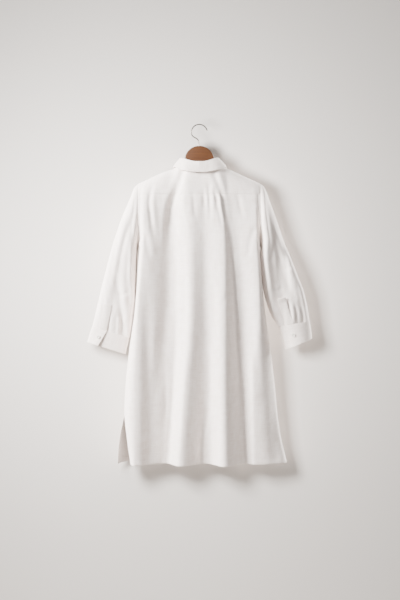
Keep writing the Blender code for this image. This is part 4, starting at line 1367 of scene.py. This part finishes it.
mesh = bmesh.new()
loop = [mesh.verts.new((x * MM, -WOOD_THICKNESS / 2 * MM, -drop * MM)) for x, drop in wood_outline()]
face = mesh.faces.new(loop)
grown = bmesh.ops.extrude_face_region(mesh, geom=[face])
rear = [v for v in grown["geom"] if isinstance(v, bmesh.types.BMVert)]
bmesh.ops.translate(mesh, verts=rear, vec=(0, WOOD_THICKNESS * MM, 0))
rims = [e for e in mesh.edges if abs(e.verts[0].co.y - e.verts[1].co.y) < 1e-9]
bmesh.ops.bevel(
    mesh, geom=rims, offset=WOOD_EDGE_ROUND * MM, segments=4, profile=0.5, affect="EDGES",
    clamp_overlap=True, material=-1,
)
bmesh.ops.recalc_face_normals(mesh, faces=mesh.faces)
wood = mesh_object("hanger_board", mesh, BEECH)
wood.data.set_sharp_from_angle(angle=math.radians(40))
hang(wood, "varnished beech", "hanger_wood")
print("hanger faces", len(wood.data.polygons))

# %% Hook
WIRE_RADIUS = 1.9
HOOK_RADIUS = 27.0
HOOK_BEND = (
    (-23.3, 36.6), (-18.6, 40.6), (-13.0, 43.8), (-7.8, 47.0), (-4.0, 51.4), (-2.3, 56.5), (-2.0, 62.0),
)


def curve_mesh(name, splines, radius, sides, material):
    """A mesh swept along lines of points in millimetres."""
    data = bpy.data.curves.new(name, "CURVE")
    data.dimensions = "3D"
    data.bevel_depth = radius * MM
    data.bevel_resolution = sides
    data.use_fill_caps = True
    for points in splines:
        spline = data.splines.new("POLY")
        spline.points.add(len(points) - 1)
        for place, point in zip(spline.points, points):
            place.co = (point[0] * MM, point[1] * MM, point[2] * MM, 1.0)
    source = add_object(name + " line", data)
    swept = bpy.data.meshes.new_from_object(source.evaluated_get(bpy.context.evaluated_depsgraph_get()))
    bpy.data.objects.remove(source)
    swept.name = name
    swept.shade_smooth()
    swept.materials.clear()
    swept.materials.append(material)
    return add_object(name, swept)


arc_points = [
    (HOOK_RADIUS * math.cos(a), -(HOOK_RADIUS - WIRE_RADIUS) + HOOK_RADIUS * math.sin(a))
    for a in np.radians(np.linspace(13.0, 196.0, 29))
]
stations = [*arc_points, *[(x, -drop) for x, drop in HOOK_BEND], (-2.0, -93.0)]
lengths = np.concatenate([[0.0], np.cumsum(np.hypot(*np.diff(np.array(stations), axis=0).T))])
wire_x, wire_z = Line(lengths, [p[0] for p in stations]), Line(lengths, [p[1] for p in stations])
route = [(wire_x(s), 0.0, wire_z(s)) for s in np.linspace(0, lengths[-1], 110)]
hook = curve_mesh("hanger_wire", [route], WIRE_RADIUS, 6, STEEL)
hook.data.set_sharp_from_angle(angle=math.radians(50))
hang(hook, "chromed steel wire", "hanger_hook")
print("wire length", round(lengths[-1]), "mm")

# %% [markdown]
# ## Stitching
# Every seam line that sank the cloth above now gets its thread: short raised lines, 2.6 mm long with
# a small gap between them. They are swept from a few points each, so that thousands stay light.

# %% Stitching
STITCH = 2.6
STITCH_GAP = 0.9
THREAD_RADIUS = 0.17


def seam_line(name, edge, distance, low=0.0, high=1.0):
    """Places and normals along a seam, at a distance from one edge of a piece."""
    places, normals = PIECES[name]
    if "column" in edge:
        places, normals = by_columns(places), by_columns(normals)
    if "last" in edge:
        places, normals = places[::-1], normals[::-1]
    down = arc(places, 0)
    count = places.shape[1]
    line, facing = [], []
    for j in range(int(low * (count - 1)), int(math.ceil(high * (count - 1))) + 1):
        row = np.interp(distance, down[:, j], np.arange(len(places)))
        i = min(int(row), len(places) - 2)
        line.append(between(places[i, j], places[i + 1, j], row - i))
        facing.append(normals[i, j])
    return np.array(line), np.array(facing)


def stitches(line, facing):
    """Points of short threads along a line, each rising from the cloth and going back into it."""
    length = np.concatenate([[0.0], np.cumsum(np.linalg.norm(np.diff(line, axis=0), axis=1))])

    def at(s, lift):
        where = [np.interp(s, length, line[:, k]) for k in range(3)]
        return [place + np.interp(s, length, facing[:, k]) * lift for k, place in enumerate(where)]

    starts = np.arange(1.5, length[-1] - STITCH - 1.0, STITCH + STITCH_GAP)
    return [(at(s, -0.08), at(s + STITCH / 2, 0.16), at(s + STITCH, -0.08)) for s in starts]


stitching = {}
for name, seams in SEAMS.items():
    if seams:
        lines = [line for seam in seams for line in stitches(*seam_line(name, *seam))]
        sewn = curve_mesh(name + "_stitching", lines, THREAD_RADIUS, 0, THREAD)
        stitching[name] = [hang(sewn, SLOT[False])]
        print(name, len(lines), "stitches")

# %% [markdown]
# ## Buttons and buttonholes
# A shell button is turned to a raised rim round a shallow well, and four holes are bored through
# it. The thread goes over twice between the holes. A buttonhole is a slit with a close edging of
# thread, longer than the button is wide.

# %% One button
BUTTON_RADIUS = 5.75
HOLE_RADIUS = 0.95
HOLE_REACH = 1.5
PROFILE = (
    (0.0, 1.5), (2.9, 1.5), (3.7, 1.72), (4.2, 2.3), (4.75, 2.6), (5.3, 2.45), (BUTTON_RADIUS, 1.85),
    (5.6, 1.1), (4.7, 0.4), (3.2, 0.0), (0.0, 0.0),
)
mesh = bmesh.new()
chain = [mesh.verts.new((r * MM, 0, z * MM)) for r, z in PROFILE]
edges = [mesh.edges.new(pair) for pair in zip(chain, chain[1:])]
bmesh.ops.spin(
    mesh, geom=[*chain, *edges], axis=(0, 0, 1), cent=(0, 0, 0), steps=44, angle=math.tau, use_merge=True
)
bmesh.ops.remove_doubles(mesh, verts=mesh.verts, dist=1e-7)
bmesh.ops.recalc_face_normals(mesh, faces=mesh.faces)
blank = mesh_object("button blank", mesh, PEARL)
mesh = bmesh.new()
for x in (-HOLE_REACH, HOLE_REACH):
    for y in (-HOLE_REACH, HOLE_REACH):
        spot = Matrix.Translation((x * MM, y * MM, 0.001))
        radius = HOLE_RADIUS * MM
        bmesh.ops.create_cone(
            mesh, cap_ends=True, segments=16, radius1=radius, radius2=radius, depth=0.01, matrix=spot
        )
drill = mesh_object("button drill", mesh, PEARL)
bore = blank.modifiers.new("holes", "BOOLEAN")
bore.operation = "DIFFERENCE"
bore.object = drill
button_mesh = bpy.data.meshes.new_from_object(blank.evaluated_get(bpy.context.evaluated_depsgraph_get()))
button_mesh.name = "button"
button_mesh.set_sharp_from_angle(angle=math.radians(40))
for spare in (blank, drill):
    bpy.data.objects.remove(spare)
print("button faces", len(button_mesh.polygons))


# %% Places of the buttons
FIRST_BUTTON_DROP = 275.0
BUTTON_STEP = 95.0
BAND_MIDDLE = 5.5
CUFF_BUTTON_ALONG = 0.965
def surface_frame(surface, c, r, step_c, step_r, lift, flip):
    """A place lifted from a surface, its outward direction, and its direction down the piece."""
    sideways = surface(c + step_c, r) - surface(c - step_c, r)
    down = (surface(c, r + step_r) - surface(c, r - step_r)).normalized()
    away = sideways.cross(down).normalized() * (-1.0 if flip else 1.0)
    return surface(c, r) + away * lift, away, down


def front_row(drop):
    """Row of the front at the band's middle for a drop."""
    if drop >= ARMHOLE_MID_DROP:
        return 1 + (drop - ARMHOLE_MID_DROP) / (HEM_DROP["front"] - ARMHOLE_MID_DROP)
    top = upper_edge(0.0, NECK_COLUMN["front"], 180.0)[1]
    return (turn_at(0.0, drop) + top) / (1 + top)


BUTTONS = []
for k in range(9):
    row = front_row(FIRST_BUTTON_DROP + BUTTON_STEP * k)
    place = surface_frame(front_point, BAND_MIDDLE, row, 0.2, 0.004, BAND_LIFT, False)
    BUTTONS.append((f"button_{k + 1}", "front_band_strip", place))
place = surface_frame(stand_point, 180.0, 0.5, 3.0, 0.2, STIFFENED / 2, False)
BUTTONS.append(("button_collar", "collar_stand_band", place))
for hand in ("left", "right"):
    point = functools.partial(cuff_point, hand)
    place = surface_frame(point, CUFF_BUTTON_ALONG, 0.5, 0.01, 0.2, STIFFENED / 2, hand == "left")
    BUTTONS.append((f"button_cuff_{hand}", f"cuff_band_{hand}", place))
print("buttons", len(BUTTONS))

# %% Buttons, their threads and their holes
STRAND = ((-1.5, -0.5), (-1.5, 1.3), (-1.1, 1.86), (0.0, 1.98), (1.1, 1.86), (1.5, 1.3), (1.5, -0.5))
STRAND_SHIFTS = (-0.4, 0.0, 0.4)
HOLE_EDGING = ((0.25, 0.0), (0.9, 0.3), (1.6, 0.0))
HOLE_HALF_LENGTH = 6.8
HOLE_THREAD_RADIUS = 0.2
BUTTON_MIDDLE = 1.3
FARTHEST_FROM_SOLID = 0.0012
knots_of = {}
for name, owner, (place, away, down) in BUTTONS:
    along = down if owner == "front_band_strip" else away.cross(down).normalized()
    side = away.cross(along).normalized()
    base = place + away * SEAM_GAP
    made = add_object("shell_" + name, button_mesh.copy())
    turned = Matrix((side, along, away)).transposed().to_4x4()
    made.data.transform(Matrix.Translation(base * MM) @ turned)
    cad = sum((Vector(corner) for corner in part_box(name)), Vector()) / 2
    apart = (cad - (base + away * BUTTON_MIDDLE) * MM).length
    if apart > FARTHEST_FROM_SOLID:
        raise ValueError(f"{name} is {apart} m from its solid")
    hang(made, "pearl button", name)
    strands = []
    for row in (-HOLE_REACH, HOLE_REACH):
        for shift in STRAND_SHIFTS:
            strands.append([base + side * x + along * (row + shift) + away * z for x, z in STRAND])
    for step in np.linspace(-HOLE_HALF_LENGTH, HOLE_HALF_LENGTH, 27):
        start = place + along * step
        for way in (-1.0, 1.0):
            strands.append([start + side * way * reach + away * lift for reach, lift in HOLE_EDGING])
    knots_of.setdefault(owner, []).extend(strands)
    stitching.setdefault(owner, []).append(made)
for owner, strands in knots_of.items():
    worked = curve_mesh(owner + "_buttonholes", strands, HOLE_THREAD_RADIUS, 0, THREAD)
    stitching[owner].append(hang(worked, SLOT[False]))
print("buttonholes", {owner: len(strands) for owner, strands in knots_of.items()})
